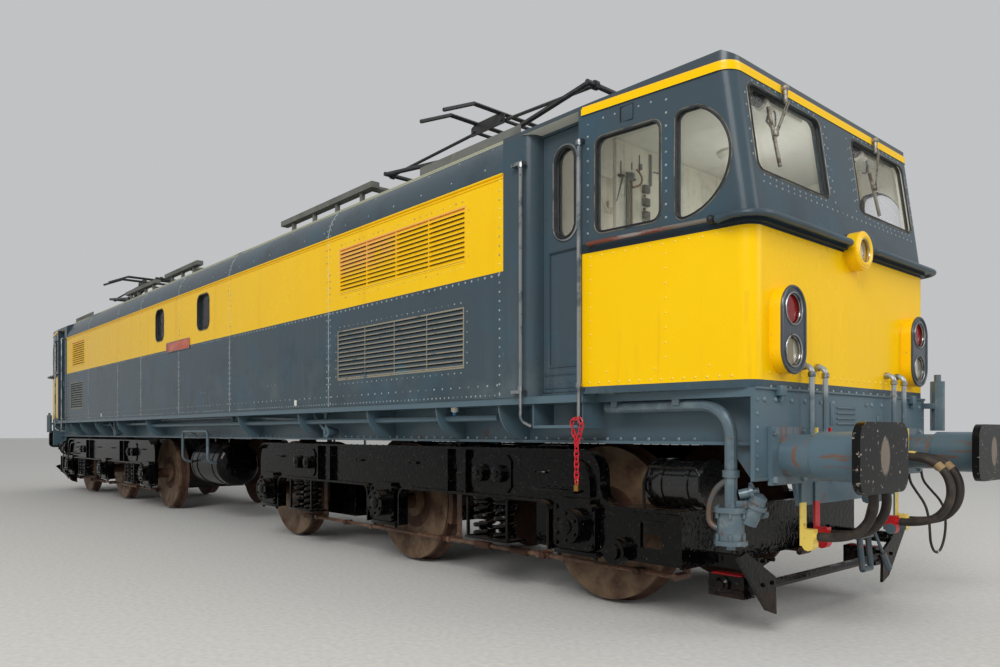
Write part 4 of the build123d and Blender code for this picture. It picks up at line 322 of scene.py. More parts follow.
# Pipe enamel: slate, worn to bare metal on the bends in front of the cab
pipe_paint = finish("grey_pipe_enamel", "#5b6d76", 0.28, [
    ("#8b989c", 0.5, 0.3, [("cloud", 110, 0.5, 0.7)]),
    ("#9aa1a5", 0.9, 0.3, [("fade", "z", 1.42, 1.47), ("band", "ax", 8.4, 8.60), ("band", "ay", 0.4, 0.8)]),
    ("#5f4736", 0.8, 0.8, [("cloud", 60, 0.60, 0.68)]),
] + end_colours(1.10, 1.26, 8.46, 8.55, 0.03) + end_colours(1.02, 1.09, 8.525, 8.56, -0.03),
                    metallic=0.2, coat=0.1, grain_mm=3.0, relief_mm=0.1)
coupling_colours = finish("coloured_coupling_enamel", "#566b74", 0.35,
                          end_colours(0.4, 0.80, 8.4, 8.56, -0.03) + [
                              ("#5a4633", 0.6, 0.8, [("cloud", 40, 0.58, 0.68)]),
                          ], coat=0.1, grain_mm=3.0, relief_mm=0.1)
# Pantograph masts: grey-black with dust, and glazed brown insulators below them
mast_paint = finish("mast_enamel", "#26292b", 0.4, [
    ("#5b5347", 0.5, 0.8, [("cloud", 90, 0.5, 0.7)]),
    ("#3d1f14", 1.0, 0.12, [("band", "z", 3.3, 3.712), ("band", "ay", 0.44, 0.60)]),
], grain_mm=4.0, relief_mm=0.1)
# Seam strips, rivets and bolts, paler than the paint around them: on the rivet and bolt heads the pale colour
# is a painted highlight, broken by patches of slate
seam_paint = finish("pale_seam_enamel", "#7d8b91", 0.4, [
    (YELLOW, 1.0, 0.35, [BAND]),
    ("#c3c7c0", 0.6, 0.6, [("cloud", 40, 0.46, 0.58)]),
], relief_mm=0.1)
# Rivet heads: a painted highlight, pale grey on the slate and pale yellow on the band
rivet_highlight_paint = finish("rivet_enamel_painted_highlight", "#9fabb0", 0.3, [
    (PALE_YELLOW, 1.0, 0.3, [BAND, ("band", "ax", 0, 6.512), ("band", "ay", 1.30, 1.40)]),
    (FADED_SLATE, 0.8, 0.3, [("cloud", 120, 0.48, 0.60)]),
], metallic=0.2)
# Cab rivet heads: the same painted highlight, pale yellow on the panel and stripe
cab_rivet_highlight_paint = finish("cab_rivet_enamel_painted_highlight", "#8d989c", 0.3, [
    ("#f5cf4a", 1.0, 0.3, [PANEL]),
    (PALE_YELLOW, 1.0, 0.3, [STRIPE]),
    (FADED_SLATE, 0.8, 0.3, [("cloud", 100, 0.52, 0.62), ("band", "z", 2.40, 3.26)]),
], metallic=0.2)
# Bolt heads on the frame: the same painted highlight
bolt_highlight_paint = patched("solebar_bolt_enamel_painted_highlight", "#7b8c93", 0.3, "#4a5f69", 0.8, 0.3, 90, 0.48, 0.60, metallic=0.2)
# A primer-red rail, bare and grey towards the cab's front
primer_red = finish("worn_red_primer", "#7c4434", 0.4, [
    ("#9a9a96", 0.8, 0.35, [("cloud", 60, 0.55, 0.62, ALONG)]),
    ("#77746c", 0.9, 0.35, [("fade", "ax", 7.86, 8.02)]),
], metallic=0.3, relief_mm=0.1)
# A pale roof edge whose colour is a painted reflection of the light along it; bare metals: dull bead strips,
# dry wipers, dull brass, a browned and a copper pipe
roof_edge_reflection_paint = patched("roof_edge_painted_reflection", "#b9b99c", 0.4, "#4a5557", 0.9, 0.5, 160, 0.55, 0.65, ALONG,
                    metallic=0.3, relief_mm=0.2)
bead_metal = patched("dull_window_beads", "#857d6b", 0.4, "#23282a", 0.8, 0.5, 120, 0.45, 0.60, metallic=0.4)
wiper_steel = patched("worn_wiper_steel", "#a09a8e", 0.4, "#4a3a2e", 0.8, 0.7, 40, 0.50, 0.62, metallic=0.8)
brass = patched("dull_brass", "#b08445", 0.35, "#6e5a3a", 0.6, 0.6, 15, 0.5, 0.7, metallic=1.0)
brown_pipe = patched("browned_pipe", "#6b5546", 0.5, "#4a5a60", 0.7, 0.4, 60, 0.48, 0.60, metallic=0.3,
                     relief_mm=0.1)
copper_pipe = patched("brown_copper_pipe", "#8a6136", 0.4, "#5c4630", 0.6, 0.6, 60, 0.5, 0.7, metallic=0.4)
# Old rubber: brown-black, dull, with dust in it
rubber = patched("dusty_rubber", "#2b2522", 0.62, "#57493c", 0.7, 0.8, 90, 0.48, 0.7, grain_mm=1.5,
                 relief_mm=0.06)
seal_rubber = patched("window_seal_rubber", "#141516", 0.5, "#3c3e3d", 0.5, 0.7, 60, 0.5, 0.7, grain_mm=1.5)
tan_rubber = finish("tan_rubber_band", "#a08660", 0.7)
# Sliding strips of carbon: near black, dry, scored lengthways
strip_carbon = patched("carbon_strip", "#2c2b2b", 0.45, "#4a4238", 0.5, 0.7, 60, 0.5, 0.7, ALONG,
                       relief_mm=0.08)
# Plain enamels, satin to gloss, each a little uneven
cab_cream_paint = patched("cab_gloss_paint", CAB_CREAM, 0.4, "#8f9482", 0.6, 0.5, 300, 0.5, 0.7, coat=0.1,
                          relief_mm=0.03)
desk_green = patched("pale_green_desk_enamel", "#93b5a4", 0.35, "#6f8c7e", 0.5, 0.5, 200, 0.5, 0.7, coat=0.1,
                     relief_mm=0.03)
machine_paint = patched("machine_enamel", "#5f6669", 0.45, "#3c3f3f", 0.7, 0.7, 200, 0.45, 0.7, relief_mm=0.1)
white_enamel = patched("white_enamel", "#e6e4da", 0.4, "#c9c4b2", 0.5, 0.5, 200, 0.5, 0.7, relief_mm=0.03)
plate_red = patched("faded_plate_enamel", "#c2563e", 0.4, "#d98a70", 0.7, 0.5, 60, 0.45, 0.65, coat=0.1)
cap_red = patched("red_cap_enamel", "#b3161d", 0.35, "#6b1c18", 0.5, 0.6, 30, 0.55, 0.68)
cap_yellow = patched("pale_yellow_enamel", "#ecd06a", 0.4, "#8f7c4a", 0.5, 0.6, 30, 0.58, 0.70)
dial_black = patched("black_dial_case", "#121212", 0.3, "#2e2e2c", 0.5, 0.5, 40, 0.5, 0.7, coat=0.3,
                     relief_mm=0.02)
# Moulded plastics, smooth and evenly coloured, seat vinyl with a fine pebble, and soft cotton string
chain_red = patched("moulded_red_plastic", "#d21f2e", 0.35, "#8c1a20", 0.5, 0.5, 30, 0.5, 0.7, relief_mm=0.03)
blue_plastic = patched("blue_moulded_cap", "#2b7fb5", 0.35, "#1d5678", 0.5, 0.5, 15, 0.5, 0.7, relief_mm=0.03)
vinyl = patched("black_seat_vinyl", "#1c1b1a", 0.45, "#3a352f", 0.6, 0.6, 60, 0.5, 0.7, grain_mm=1.2,
                relief_mm=0.12, sheen=0.1)
string_fibre = patched("pale_cotton_string", "#cfc8ae", 0.9, "#8f8870", 0.5, 0.9, 20, 0.5, 0.7, relief_mm=0.1,
                       sheen=0.3)


def glass(name, colour, roughness, transmission, body=1.0):
    """Glass with a film of dust that makes it uneven."""
    material = patched(name, colour, roughness, "#b4b6ae", 0.12, 0.2, 160, 0.5, 0.75, grain_mm=20.0,
                       relief_mm=0.01)
    shader = material.node_tree.nodes["Principled BSDF"]
    shader.inputs["Transmission Weight"].default_value = transmission
    shader.inputs["IOR"].default_value = 1.5
    shader.inputs["Alpha"].default_value = body
    return material


pane_glass = glass("window_glass", "#f4f5f2", 0.02, 1.0, body=0.12)
red_glass = glass("red_lens_glass", "#a00810", 0.08, 0.35)
# Clear lenses show the silvered dish behind them, with vertical brown streaks that are painted reflections
clear_glass = patched("silvered_lens_glass", "#d2cfc2", 0.12, "#8a744a", 0.85, 0.2, 90, 0.50, 0.55, RUNS,
                      metallic=0.7, coat=0.5, relief_mm=0.02)

FINISH = {
    "underframe": under_paint, "side_wall_left": side_paint, "side_wall_right": side_paint,
    "louvres": louvre_paint, "roof_centre": roof_paint, "roof_gear": roof_paint, "cab_shell_1": cab_1_paint,
    "cab_shell_2": cab_2_paint, "window_glass": pane_glass, "cab_roofs": cab_roof_paint,
    "door_frames": frame_paint, "bulkheads": cab_cream_paint, "cab_furniture": cab_cream_paint,
    "equipment_block": machine_paint, "lamp_housings": lamp_paint, "red_lenses": red_glass,
    "clear_lenses": clear_glass, "buffer_housings": sleeve_paint, "buffer_heads": buffer_paint,
    "draw_gear": coupling_paint, "end_pipes": pipe_paint, "handrails": bright_steel,
    "reservoirs": bogie_paint, "hose_couplings": coupling_colours, "jumper_cable": rubber,
}
PREFIX_FINISH = (
    ("door_", frame_paint), ("wheelset_", rust), ("bogie_1_brake", rod_paint), ("bogie_2_brake", rod_paint),
    ("bogie_", bogie_paint), ("pantograph_1_head", strip_carbon), ("pantograph_2_head", strip_carbon),
    ("pantograph_", mast_paint), ("brake_hose", rubber),
)
for name, obj in nodes.items():
    chosen = FINISH.get(name)
    if chosen is None:
        chosen = next(paint for prefix, paint in PREFIX_FINISH if name.startswith(prefix))
    obj.data.materials.clear()
    obj.data.materials.append(chosen)


# Forms: each gives (points, faces), and piece() joins them into one object
UP, DOWN, AHEAD, SIDEWAYS = (0, 0, 1), (0, 0, -1), (1, 0, 0), (0, -1, 0)


def circle(count, first=0.0):
    """Cosine and sine of count even steps round a circle, from first degrees on."""
    turns = [math.radians(first) + 2 * math.pi * k / count for k in range(count)]
    return [(math.cos(turn), math.sin(turn)) for turn in turns]


def sweep(path, radius, sides=8, closed=False):
    """A round bar of that radius along the points of a path, with flat ends unless it is closed."""
    path = [Vector(p) for p in path]
    count = len(path)
    points, faces = [], []
    across = None
    for i, at in enumerate(path):
        before = path[i - 1] if i or closed else at
        after = path[(i + 1) % count] if i < count - 1 or closed else at
        ahead = (after - before).normalized()
        if across is None:
            across = ahead.orthogonal().normalized()
        across = (across - ahead * across.dot(ahead)).normalized()
        beside = ahead.cross(across)
        points += [at + (across * c + beside * s) * radius for c, s in circle(sides)]
    for i in range(count if closed else count - 1):
        j = (i + 1) % count
        shift = 0
        if closed and j == 0:
            # Turn the last ring so that it meets the first one without a twist
            shift = min(range(sides), key=lambda s: (points[s] - points[i * sides]).length)
        for k in range(sides):
            m = (k + 1) % sides
            faces.append((i * sides + k, i * sides + m,
                          j * sides + (m + shift) % sides, j * sides + (k + shift) % sides))
    if not closed:
        faces.append(tuple(range(sides))[::-1])
        faces.append(tuple(range((count - 1) * sides, count * sides)))
    return points, faces


def block(low, high, edge=0.003):
    """A block between two corners with its edges taken off by edge."""
    low, high = [min(a, b) for a, b in zip(low, high)], [max(a, b) for a, b in zip(low, high)]
    shape = bmesh.new()
    bmesh.ops.create_cube(shape, size=1)
    for v in shape.verts:
        v.co = Vector([l + (h - l) * (c + 0.5) for l, h, c in zip(low, high, v.co)])
    edge = min(edge, 0.4 * min(h - l for l, h in zip(low, high)))
    bmesh.ops.bevel(shape, geom=shape.edges[:], offset=edge, segments=2, affect="EDGES", profile=0.5)
    shape.verts.index_update()
    return form_of(shape)


def form_of(shape):
    """The points and faces of a bmesh, which is freed."""
    form = [v.co.copy() for v in shape.verts], [tuple(v.index for v in f.verts) for f in shape.faces]
    shape.free()
    return form


def lathe(at, direction, profile, sides=16):
    """A turned form on an axis from at: profile gives (distance along the axis, radius)."""
    along = Vector(direction).normalized()
    across = along.orthogonal().normalized()
    beside = along.cross(across)
    points, faces = [], []
    for distance, radius in profile:
        points += [Vector(at) + along * distance + (across * c + beside * s) * max(radius, 1e-4)
                   for c, s in circle(sides)]
    for i in range(len(profile) - 1):
        for k in range(sides):
            m = (k + 1) % sides
            faces.append((i * sides + k, i * sides + m, (i + 1) * sides + m, (i + 1) * sides + k))
    faces.append(tuple(range(sides))[::-1])
    faces.append(tuple(range((len(profile) - 1) * sides, len(profile) * sides)))
    return points, faces


def rivet(at, direction, radius):
    """A low rivet head of eight sides."""
    return lathe(at, direction, ((-0.002, radius), (0.001, radius), (0.35 * radius, 0.75 * radius),
                                 (0.5 * radius, 0.2 * radius)), 8)


def bolt(at, direction, radius, foot, shoulder, tip, tip_radius, sides=6):
    """A bolt or pin from foot to shoulder along its axis, tapering from there to its tip."""
    return lathe(at, direction, ((foot, radius), (shoulder, radius), (tip, tip_radius)), sides)


def collar(at, direction, bore, radius, length, sides, start=0.0):
    """A ring with square edges round something of that bore."""
    end = start + length
    return lathe(at, direction, ((start, bore), (start, radius), (end, radius), (end, bore)), sides)


def bent(points, bend, steps=4):
    """The points of a pipe with each inner corner rounded by a bend."""
    points = [Vector(p) for p in points]
    path = [points[0]]
    for before, at, after in zip(points, points[1:], points[2:]):
        to_before, to_after = (before - at).normalized(), (after - at).normalized()
        reach = min(bend, 0.45 * (before - at).length, 0.45 * (after - at).length)
        path += [at + to_before * reach * (1 - k / steps) ** 2 + to_after * reach * (k / steps) ** 2
                 for k in range(steps + 1)]
    return path + [points[-1]]


def pipe(bend, radius, sides, *points):
    """A pipe through the points, with rounded bends."""
    return sweep(bent(points, bend), radius, sides)


def piece(name, forms, material, body="root"):
    """Joins forms into one object of that name and finish, that rides on a body."""
    points, faces = [], []
    for form_points, form_faces in forms:
        start = len(points)
        points += [tuple(p) for p in form_points]
        faces += [tuple(start + i for i in face) for face in form_faces]
    mesh = bpy.data.meshes.new(name)
    mesh.from_pydata(points, [], faces)
    mesh.validate()
    shape = bmesh.new()
    shape.from_mesh(mesh)
    bmesh.ops.recalc_face_normals(shape, faces=shape.faces[:])
    shape.to_mesh(mesh)
    shape.free()
    mesh.materials.append(material)
    mesh.shade_smooth()
    mesh.set_sharp_from_angle(angle=math.radians(35))
    obj = added(name, mesh)
    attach(obj, body)
    return obj


def turned(form):
    """The form turned half round the upright axis, for the other end and side."""
    points, faces = form
    return [Vector((-p[0], -p[1], p[2])) for p in points], faces


def mirrored(form):
    """The form mirrored to the other side."""
    points, faces = form
    return [Vector((p[0], -p[1], p[2])) for p in points], [face[::-1] for face in faces]


def both(forms):
    """The forms and the same turned half round."""
    return list(forms) + [turned(form) for form in forms]


def two_sided(forms):
    """The forms and the same mirrored to the other side."""
    return list(forms) + [mirrored(form) for form in forms]


def four(forms):
    """The forms at all four corners."""
    return both(two_sided(forms))


def rounded(width, height, corner, steps=5):
    """Points of a rectangle with round corners about the origin."""
    points = []
    for i, (sx, sy) in enumerate(((1, 1), (-1, 1), (-1, -1), (1, -1))):
        for k in range(steps + 1):
            turn = math.pi / 2 * (i + k / steps)
            points.append((sx * (width / 2 - corner) + corner * math.cos(turn),
                           sy * (height / 2 - corner) + corner * math.sin(turn)))
    return points


def spaced(start, end, pitch):
    """Places from start to end about pitch apart."""
    count = max(1, round(abs(end - start) / pitch))
    return [start + (end - start) * (i + 0.5) / count for i in range(count)]


def boxes(x, *rows):
    """Blocks on the upright plane at x: each row gives two corners, with X from the plane, and the edge."""
    return [block((x + low[0], *low[1:]), (x + high[0], *high[1:]), edge) for low, high, edge in rows]


def uprights(x, *rows):
    """Round bars that stand against the upright plane at x: each row gives (y, low, high, radius)."""
    return [sweep([(x + radius, y, low), (x + radius, y, high)], radius) for y, low, high, radius in rows]


# Free cords: the brake hoses between their cocks and the parked couplings, and the jumper cable
HOSE_DIAMETER = 0.054
HOSE_ROUTE = ((8.532, 1.055), (8.716, 1.055), (8.848, 0.923), (8.848, 0.737), (8.716, 0.605), (8.532, 0.605))
JUMPER_DIAMETER = 0.018
JUMPER_ROUTE = (
    (8.417, 0.948, 0.9447), (8.417, 0.948, 0.870), (8.470, 0.948, 0.785), (8.530, 0.948, 0.700),
    (8.555, 0.948, 0.600), (8.560, 0.952, 0.505), (8.560, 0.965, 0.416), (8.560, 1.041, 0.340),
    (8.560, 1.149, 0.340),
    (8.560, 1.228, 0.416), (8.560, 1.262, 0.515), (8.555, 1.268, 0.615), (8.530, 1.255, 0.705),
    (8.470, 1.222, 0.785), (8.417, 1.185, 0.870), (8.417, 1.185, 0.9447),
)


def cord(name, route, diameter, material):
    """A round cord whose line is a smooth spline with the route's points as its control points."""
    line = bpy.data.curves.new(name, "CURVE")
    line.dimensions = "3D"
    line.bevel_depth = diameter / 2
    line.bevel_resolution = 5
    line.resolution_u = 16
    line.use_fill_caps = True
    spline = line.splines.new("NURBS")
    spline.points.add(len(route) - 1)
    for point, at in zip(spline.points, route):
        point.co = (*at, 1)
    spline.order_u = 3
    spline.use_endpoint_u = True
    line.materials.append(material)
    obj = added(name, line)
    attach(obj, "root")
    return obj


for number, y in enumerate(HOSE_Y, 1):
    route = [(x, y, z) for x, z in HOSE_ROUTE]
    hose = cord(f"rubber_hose_{number}", route, HOSE_DIAMETER, rubber)
    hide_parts(f"brake_hose_{number}")
jumper = cord("hanging_jumper", JUMPER_ROUTE, JUMPER_DIAMETER, rubber)
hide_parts("jumper_cable")

# Rivets of the body sides, seams and rain strips
SIDE_Y, BODY_END = -1.345, 6.5
SEAM_X = (-4.894, -3.059, -1.838, -0.184, 1.558, 3.961)
# Louvres, then small windows: x and z of the middle, width, height
OPENINGS = ((5.125, 2.737, 1.910, 0.435), (5.100, 1.945, 1.920, 0.470), (-5.625, 2.722, 0.910, 0.475),
            (-5.745, 1.925, 0.910, 0.510), (-0.970, 2.770, 0.360, 0.460), (0.710, 2.770, 0.420, 0.460))
BODY_FOOT, CANT_FOOT, CANT_RADIUS = 1.466, 3.08, 0.42


def on_cant(angle):
    """Y, Z and outward direction on the curve above the side, by its angle in degrees."""
    turn = math.radians(angle)
    y = -(1.345 - CANT_RADIUS + CANT_RADIUS * math.cos(turn))
    return y, CANT_FOOT + CANT_RADIUS * math.sin(turn), (0, -math.cos(turn), math.sin(turn))


def on_side(x, z, out=0.0):
    """Point on the right side of the body, out metres outside it."""
    return (x, SIDE_Y - out, z)


rivets, seams = [], []
for x in SEAM_X:
    seams.append(block(on_side(x - 0.008, BODY_FOOT + 0.002, 0.0025),
                       on_side(x + 0.008, CANT_FOOT, -0.002), 0.001))
    seams.append(sweep([(x, y, z) for y, z, _ in map(on_cant, range(0, 46, 5))], 0.006, 6))
    for at in (x - 0.032, x + 0.032):
        rivets += [rivet(on_side(at, z), SIDEWAYS, 0.009) for z in spaced(BODY_FOOT, CANT_FOOT, 0.062)]
        rivets += [rivet((at, y, z), out, 0.009) for y, z, out in map(on_cant, range(5, 46, 8))]
for z, pitch, radius in ((2.362, 0.078, 0.0105), (1.488, 0.055, 0.008), (1.560, 0.110, 0.009)):
    rivets += [rivet(on_side(x, z), SIDEWAYS, radius) for x in spaced(-BODY_END, BODY_END, pitch)
               if not (z > 2.3 and -0.70 < x < 0.28)]
for x in (-6.47, 6.47):
    rivets += [rivet(on_side(x, z), SIDEWAYS, 0.009) for z in spaced(BODY_FOOT, CANT_FOOT, 0.066)]
for x, z, width, height in OPENINGS:
    reach_x, reach_z = width / 2, height / 2
    for s in (-1, 1):
        rivets += [rivet(on_side(at, z + s * (reach_z + 0.035)), SIDEWAYS, 0.0075)
                   for at in spaced(x - reach_x, x + reach_x, 0.08)]
        rivets += [rivet(on_side(x + s * (reach_x + 0.035), at), SIDEWAYS, 0.0075)
                   for at in spaced(z - reach_z, z + reach_z, 0.08)]
for y, z, out in map(on_cant, (12, 38)):
    rivets += [rivet((x, y, z), out, 0.009) for x in spaced(-BODY_END, BODY_END, 0.40)]
# Short rows of three rivets below the waist, where things are hung inside
for x in (-5.6, -4.2, -2.5, -1.0, 0.7, 2.7):
    rivets += [rivet(on_side(x + dx, 1.70 + 0.03 * (round(x) % 2)), SIDEWAYS, 0.0075)
               for dx in (-0.09, 0.0, 0.09)]
piece("side_rivets", both(rivets), rivet_highlight_paint)
piece("side_seams", both(seams), seam_paint)
rain_strips = [sweep([on_side(-6.508, z, out), on_side(6.508, z, out)], radius)
               for z, out, radius in ((3.087, 0.003, 0.010), (3.060, 0.001, 0.006))]
piece("rain_strips", both(rain_strips), side_paint)
# A pale bar where the side meets the roof: its colour is a painted reflection of the light along the roof's
# edge
y, z, out = on_cant(49)
piece("roof_edges", both([sweep([(-6.51, y, z), (6.51, y, z)], 0.012)]), roof_edge_reflection_paint)
# Blank red plate below the yellow band, in a thin frame
plate = [block(on_side(-0.66, 2.347, 0.008), on_side(0.24, 2.480, -0.002), 0.004)]
plate_frame = [sweep([on_side(-0.21 + a, 2.4135 + b, 0.008) for a, b in rounded(0.9, 0.133, 0.01, 2)],
                     0.005, 6, True)]
piece("blank_plates", both(plate), plate_red)
piece("plate_frames", both(plate_frame), bright_steel)

# Cab rivets; the cab narrows from the door to the front, and its front leans back above the waist
CAB_REAR, CAB_FRONT, TAPER = 7.280, 8.430, 0.135 / 1.150


def cab_side(x, z, out=0.0):
    """Point on the right side of cab 1, out metres outside it."""
    return (x, -(1.345 - TAPER * (x - CAB_REAR)) - out, z)


def cab_front(y, z, out=0.0):
    """Point on the front of cab 1, out metres ahead of it."""
    return (CAB_FRONT - max(0.0, z - 2.4) * 0.130 / 0.910 + out, y, z)


SIDE_OUT = Vector((TAPER, -1, 0)).normalized()
RAKED_OUT = Vector((1, 0, 0.1429)).normalized()
cab_side_rivets, front_rivets = [], []
for z, pitch, radius in ((1.535, 0.075, 0.0085), (1.60, 0.30, 0.007), (2.345, 0.09, 0.0075),
                         (3.29, 0.07, 0.0075)):
    cab_side_rivets += [rivet(cab_side(x, z), SIDE_OUT, radius)
                        for x in spaced(7.30, 8.26 if z > 3 else 8.34, pitch)]
cab_side_rivets += [rivet(cab_side(x, 3.215), SIDE_OUT, 0.0075) for x in spaced(7.40, 7.83, 0.085)]
for places, low, high, pitch, radius in (((7.325, 7.890), 2.46, 3.24, 0.075, 0.0085),
                                         ((7.345, 7.885), 1.62, 2.33, 0.09, 0.007)):
    cab_side_rivets += [rivet(cab_side(x, z), SIDE_OUT, radius) for x in places
                        for z in spaced(low, high, pitch)]
for z, pitch, radius in ((1.475, 0.11, 0.010), (1.555, 0.085, 0.0085), (2.345, 0.085, 0.0075),
                         (2.470, 0.085, 0.0075), (2.640, 0.07, 0.008), (3.29, 0.07, 0.0075)):
    front_rivets += [rivet(cab_front(y, z), RAKED_OUT if z > 2.4 else AHEAD, radius)
                     for y in spaced(-1.08, 1.08, pitch)
                     if not (abs(y) < 0.14 and 2.2 < z < 2.55)]
for y in (-0.15, 0.15):
    front_rivets += [rivet(cab_front(y, z), RAKED_OUT, 0.008) for z in spaced(2.66, 3.24, 0.075)]
piece("cab_rivets", both(two_sided(cab_side_rivets) + front_rivets), cab_rivet_highlight_paint)

# Rounded gutter along the top of the waist moulding, from the cab side round the corner to the headlamp
GUTTER_Z, GUTTER_RADIUS, GUTTER_OUT, GUTTER_BEND = 2.414, 0.020, 0.076, 0.15


def waist_path(out):
    """Points round the front right corner of cab 1, out metres outside it, ending at the headlamp's wall."""
    corner = Vector((CAB_FRONT + out, -(1.345 - TAPER * (CAB_FRONT - CAB_REAR)) - out, GUTTER_Z))
    back, across = Vector((-1, -TAPER, 0)).normalized(), Vector((0, 1, 0))
    path = [Vector(cab_side(8.25, GUTTER_Z, 0.6 * out))]
    path += [corner + back * GUTTER_BEND * (1 - k / 8) ** 2 + across * GUTTER_BEND * (k / 8) ** 2
             for k in range(9)]
    return path + [Vector((CAB_FRONT + out * share, -0.145 + slip, GUTTER_Z))
                   for share, slip in ((1, -0.06), (0.9, -0.03), (0.5, -0.006), (0, 0))]


def ledge(inner, outer, thickness):
    """A level plate between two paths."""
    rows = [[p + Vector((0, 0, lift)) for p in line]
            for lift in (thickness / 2, -thickness / 2) for line in (inner, outer)]
    count = len(inner)
    loop = [row * count for row in (0, 1, 3, 2)]
    faces = [(a + k, a + k + 1, b + k + 1, b + k) for a, b in zip(loop, loop[1:] + loop[:1])
             for k in range(count - 1)]
    faces += [tuple(loop), tuple(row + count - 1 for row in loop[::-1])]
    return [p for row in rows for p in row], faces


gutter = waist_path(GUTTER_OUT)
gutters = [sweep(gutter, GUTTER_RADIUS, 10), ledge(waist_path(0.0), gutter, 0.010),
           lathe(gutter[0], (-1, -TAPER, 0),
                 ((-0.02, 0.019), (0.0, 0.024), (0.018, 0.018), (0.028, 0.004)), 12),
           lathe(gutter[-1] + Vector((0.004, 0, 0)), (-1, 0, 0),
                 ((-0.01, 0.018), (-0.002, 0.026), (0.004, 0.026)), 12)]
piece("waist_gutters", four(gutters), side_paint)


# Seals in the window openings, along the outer and inner edges of the panes
def outlines(obj):
    """The closed edge lines of the panes of a CAD node."""
    shape = bmesh.new()
    shape.from_mesh(obj.data)
    bmesh.ops.remove_doubles(shape, verts=shape.verts[:], dist=0.0002)
    sharp = [e for e in shape.edges if len(e.link_faces) == 2 and e.calc_face_angle(0) > math.radians(50)]
    beside = {}
    for e in sharp:
        for v in e.verts:
            beside.setdefault(v.index, []).append(e.other_vert(v).index)
    at = {v.index: v.co.copy() for v in shape.verts}
    lines, seen = [], set()
    for start in sorted(beside):
        if start in seen or len(beside[start]) != 2:
            continue
        line, last, here = [start], None, start
        while True:
            seen.add(here)
            onward = [n for n in beside[here] if n != last and len(beside.get(n, ())) == 2]
            if not onward or (onward[0] == start and last is not None):
                break
            last, here = here, onward[0]
            if here in seen:
                break
            line.append(here)
        if len(line) > 6:
            lines.append([at[i] for i in line])
    shape.free()
    return lines


def outward(line):
    """Middle of a closed line and the direction across its plane that points away from the body."""
    middle = sum(line, Vector()) / len(line)
    across = Vector()
    for a, b in zip(line, line[1:] + line[:1]):
        across += (a - middle).cross(b - middle)
    across.normalize()
    away = Vector((middle.x - math.copysign(7.6, middle.x) if abs(middle.x) > 7 else 0, middle.y, 0))
    return middle, across if across.dot(away) > 0 else -across


# Each pane has an outer and an inner edge line: the outer one lies further out along its direction
SEAL_RADIUS, PANE_DEPTH, SCREW_PITCH = 0.008, 0.025, 0.065
seals, bright_beads, screws = [], [], []
pane_lines = [(line, *outward(line)) for line in outlines(nodes["window_glass"])]
for line, middle, out in pane_lines:
    seals.append(sweep(line, SEAL_RADIUS, 8, True))
    if any(out.dot(other - middle) > 0.003 and (other - middle).length < 0.03 for _, other, _ in pane_lines):
        continue
    flush = [p + out * PANE_DEPTH for p in line]
    centre = middle + out * PANE_DEPTH
    seals.append(sweep([p + (centre - p) * 0.02 for p in flush], 0.006, 8, True))
    bright_beads.append(sweep([p - (centre - p).normalized() * 0.008 for p in flush], 0.004, 6, True))
    if abs(out.x) > 0.7:
        # Screws round a windscreen, on its frame
        for a, b in zip(flush, flush[1:] + flush[:1]):
            count = max(1, round((b - a).length / SCREW_PITCH)) if (b - a).length > 0.03 else 0
            for k in range(count):
                at = a.lerp(b, (k + 0.5) / count)
                screws.append(rivet(at + (at - centre).normalized() * 0.034, out, 0.0075))
piece("window_seals", seals, seal_rubber)
piece("window_beads", bright_beads, bead_metal)
piece("windscreen_screws", screws, cab_rivet_highlight_paint)

# Doors, drawn at door_1_right: seals and a bright rim round the pane, a lever handle, and the leaf's trim
DOOR_MIDDLE, DOOR_FACE, DOOR_BACK, PANE_Z = (6.805 + 7.232) / 2, -1.225, -1.180, 2.86
GLASS_Y = (DOOR_FACE + DOOR_BACK) / 2
DOORS = (("door_1_right", 1, 1), ("door_1_left", 1, -1), ("door_2_right", -1, 1), ("door_2_left", -1, -1))


def on_door(x, z, out=0.0):
    """Point on the outer face of door_1_right, out metres outside it."""
    return (x, DOOR_FACE - out, z)


def pane_ring(place, y, size, radius):
    """A round bar along a door's pane, whose size is (width, height, corner, steps)."""
    return sweep([place @ Vector((DOOR_MIDDLE + a, y, PANE_Z + b)) for a, b in rounded(*size)],
                 radius, 8, True)


def placed(place, forms):
    """The forms moved by that matrix."""
    return [([place @ Vector(p) for p in points], faces) for points, faces in forms]


handle = [sweep([on_door(7.172, 2.30, 0.002), on_door(7.172, 2.30, 0.028), on_door(7.172, 2.28, 0.030),
                 on_door(7.168, 2.17, 0.030)], 0.009),
          block(on_door(7.150, 2.20, 0.006), on_door(7.194, 2.36, -0.001)),
          block(on_door(7.195, 1.60, 0.004), on_door(7.225, 1.68, -0.001))]
handle += [rivet(on_door(7.172, z, 0.005), SIDEWAYS, 0.005) for z in (2.215, 2.345)]
trim = [sweep([on_door(7.018 + a, 2.07 + b, 0.001) for a, b in rounded(0.32, 0.80, 0.012, 2)],
              0.006, 6, True),
        block(on_door(6.82, 1.520, 0.005), on_door(7.22, 1.600, -0.001)),
        block(on_door(6.82, 1.612, 0.005), on_door(7.22, 1.650, -0.001))]
trim += [rivet(on_door(x, 1.56, 0.005), SIDEWAYS, 0.010) for x in spaced(6.83, 7.21, 0.09)]
trim += [rivet(on_door(x, z), SIDEWAYS, 0.0055) for x in (6.835, 7.212) for z in spaced(1.68, 3.25, 0.10)]
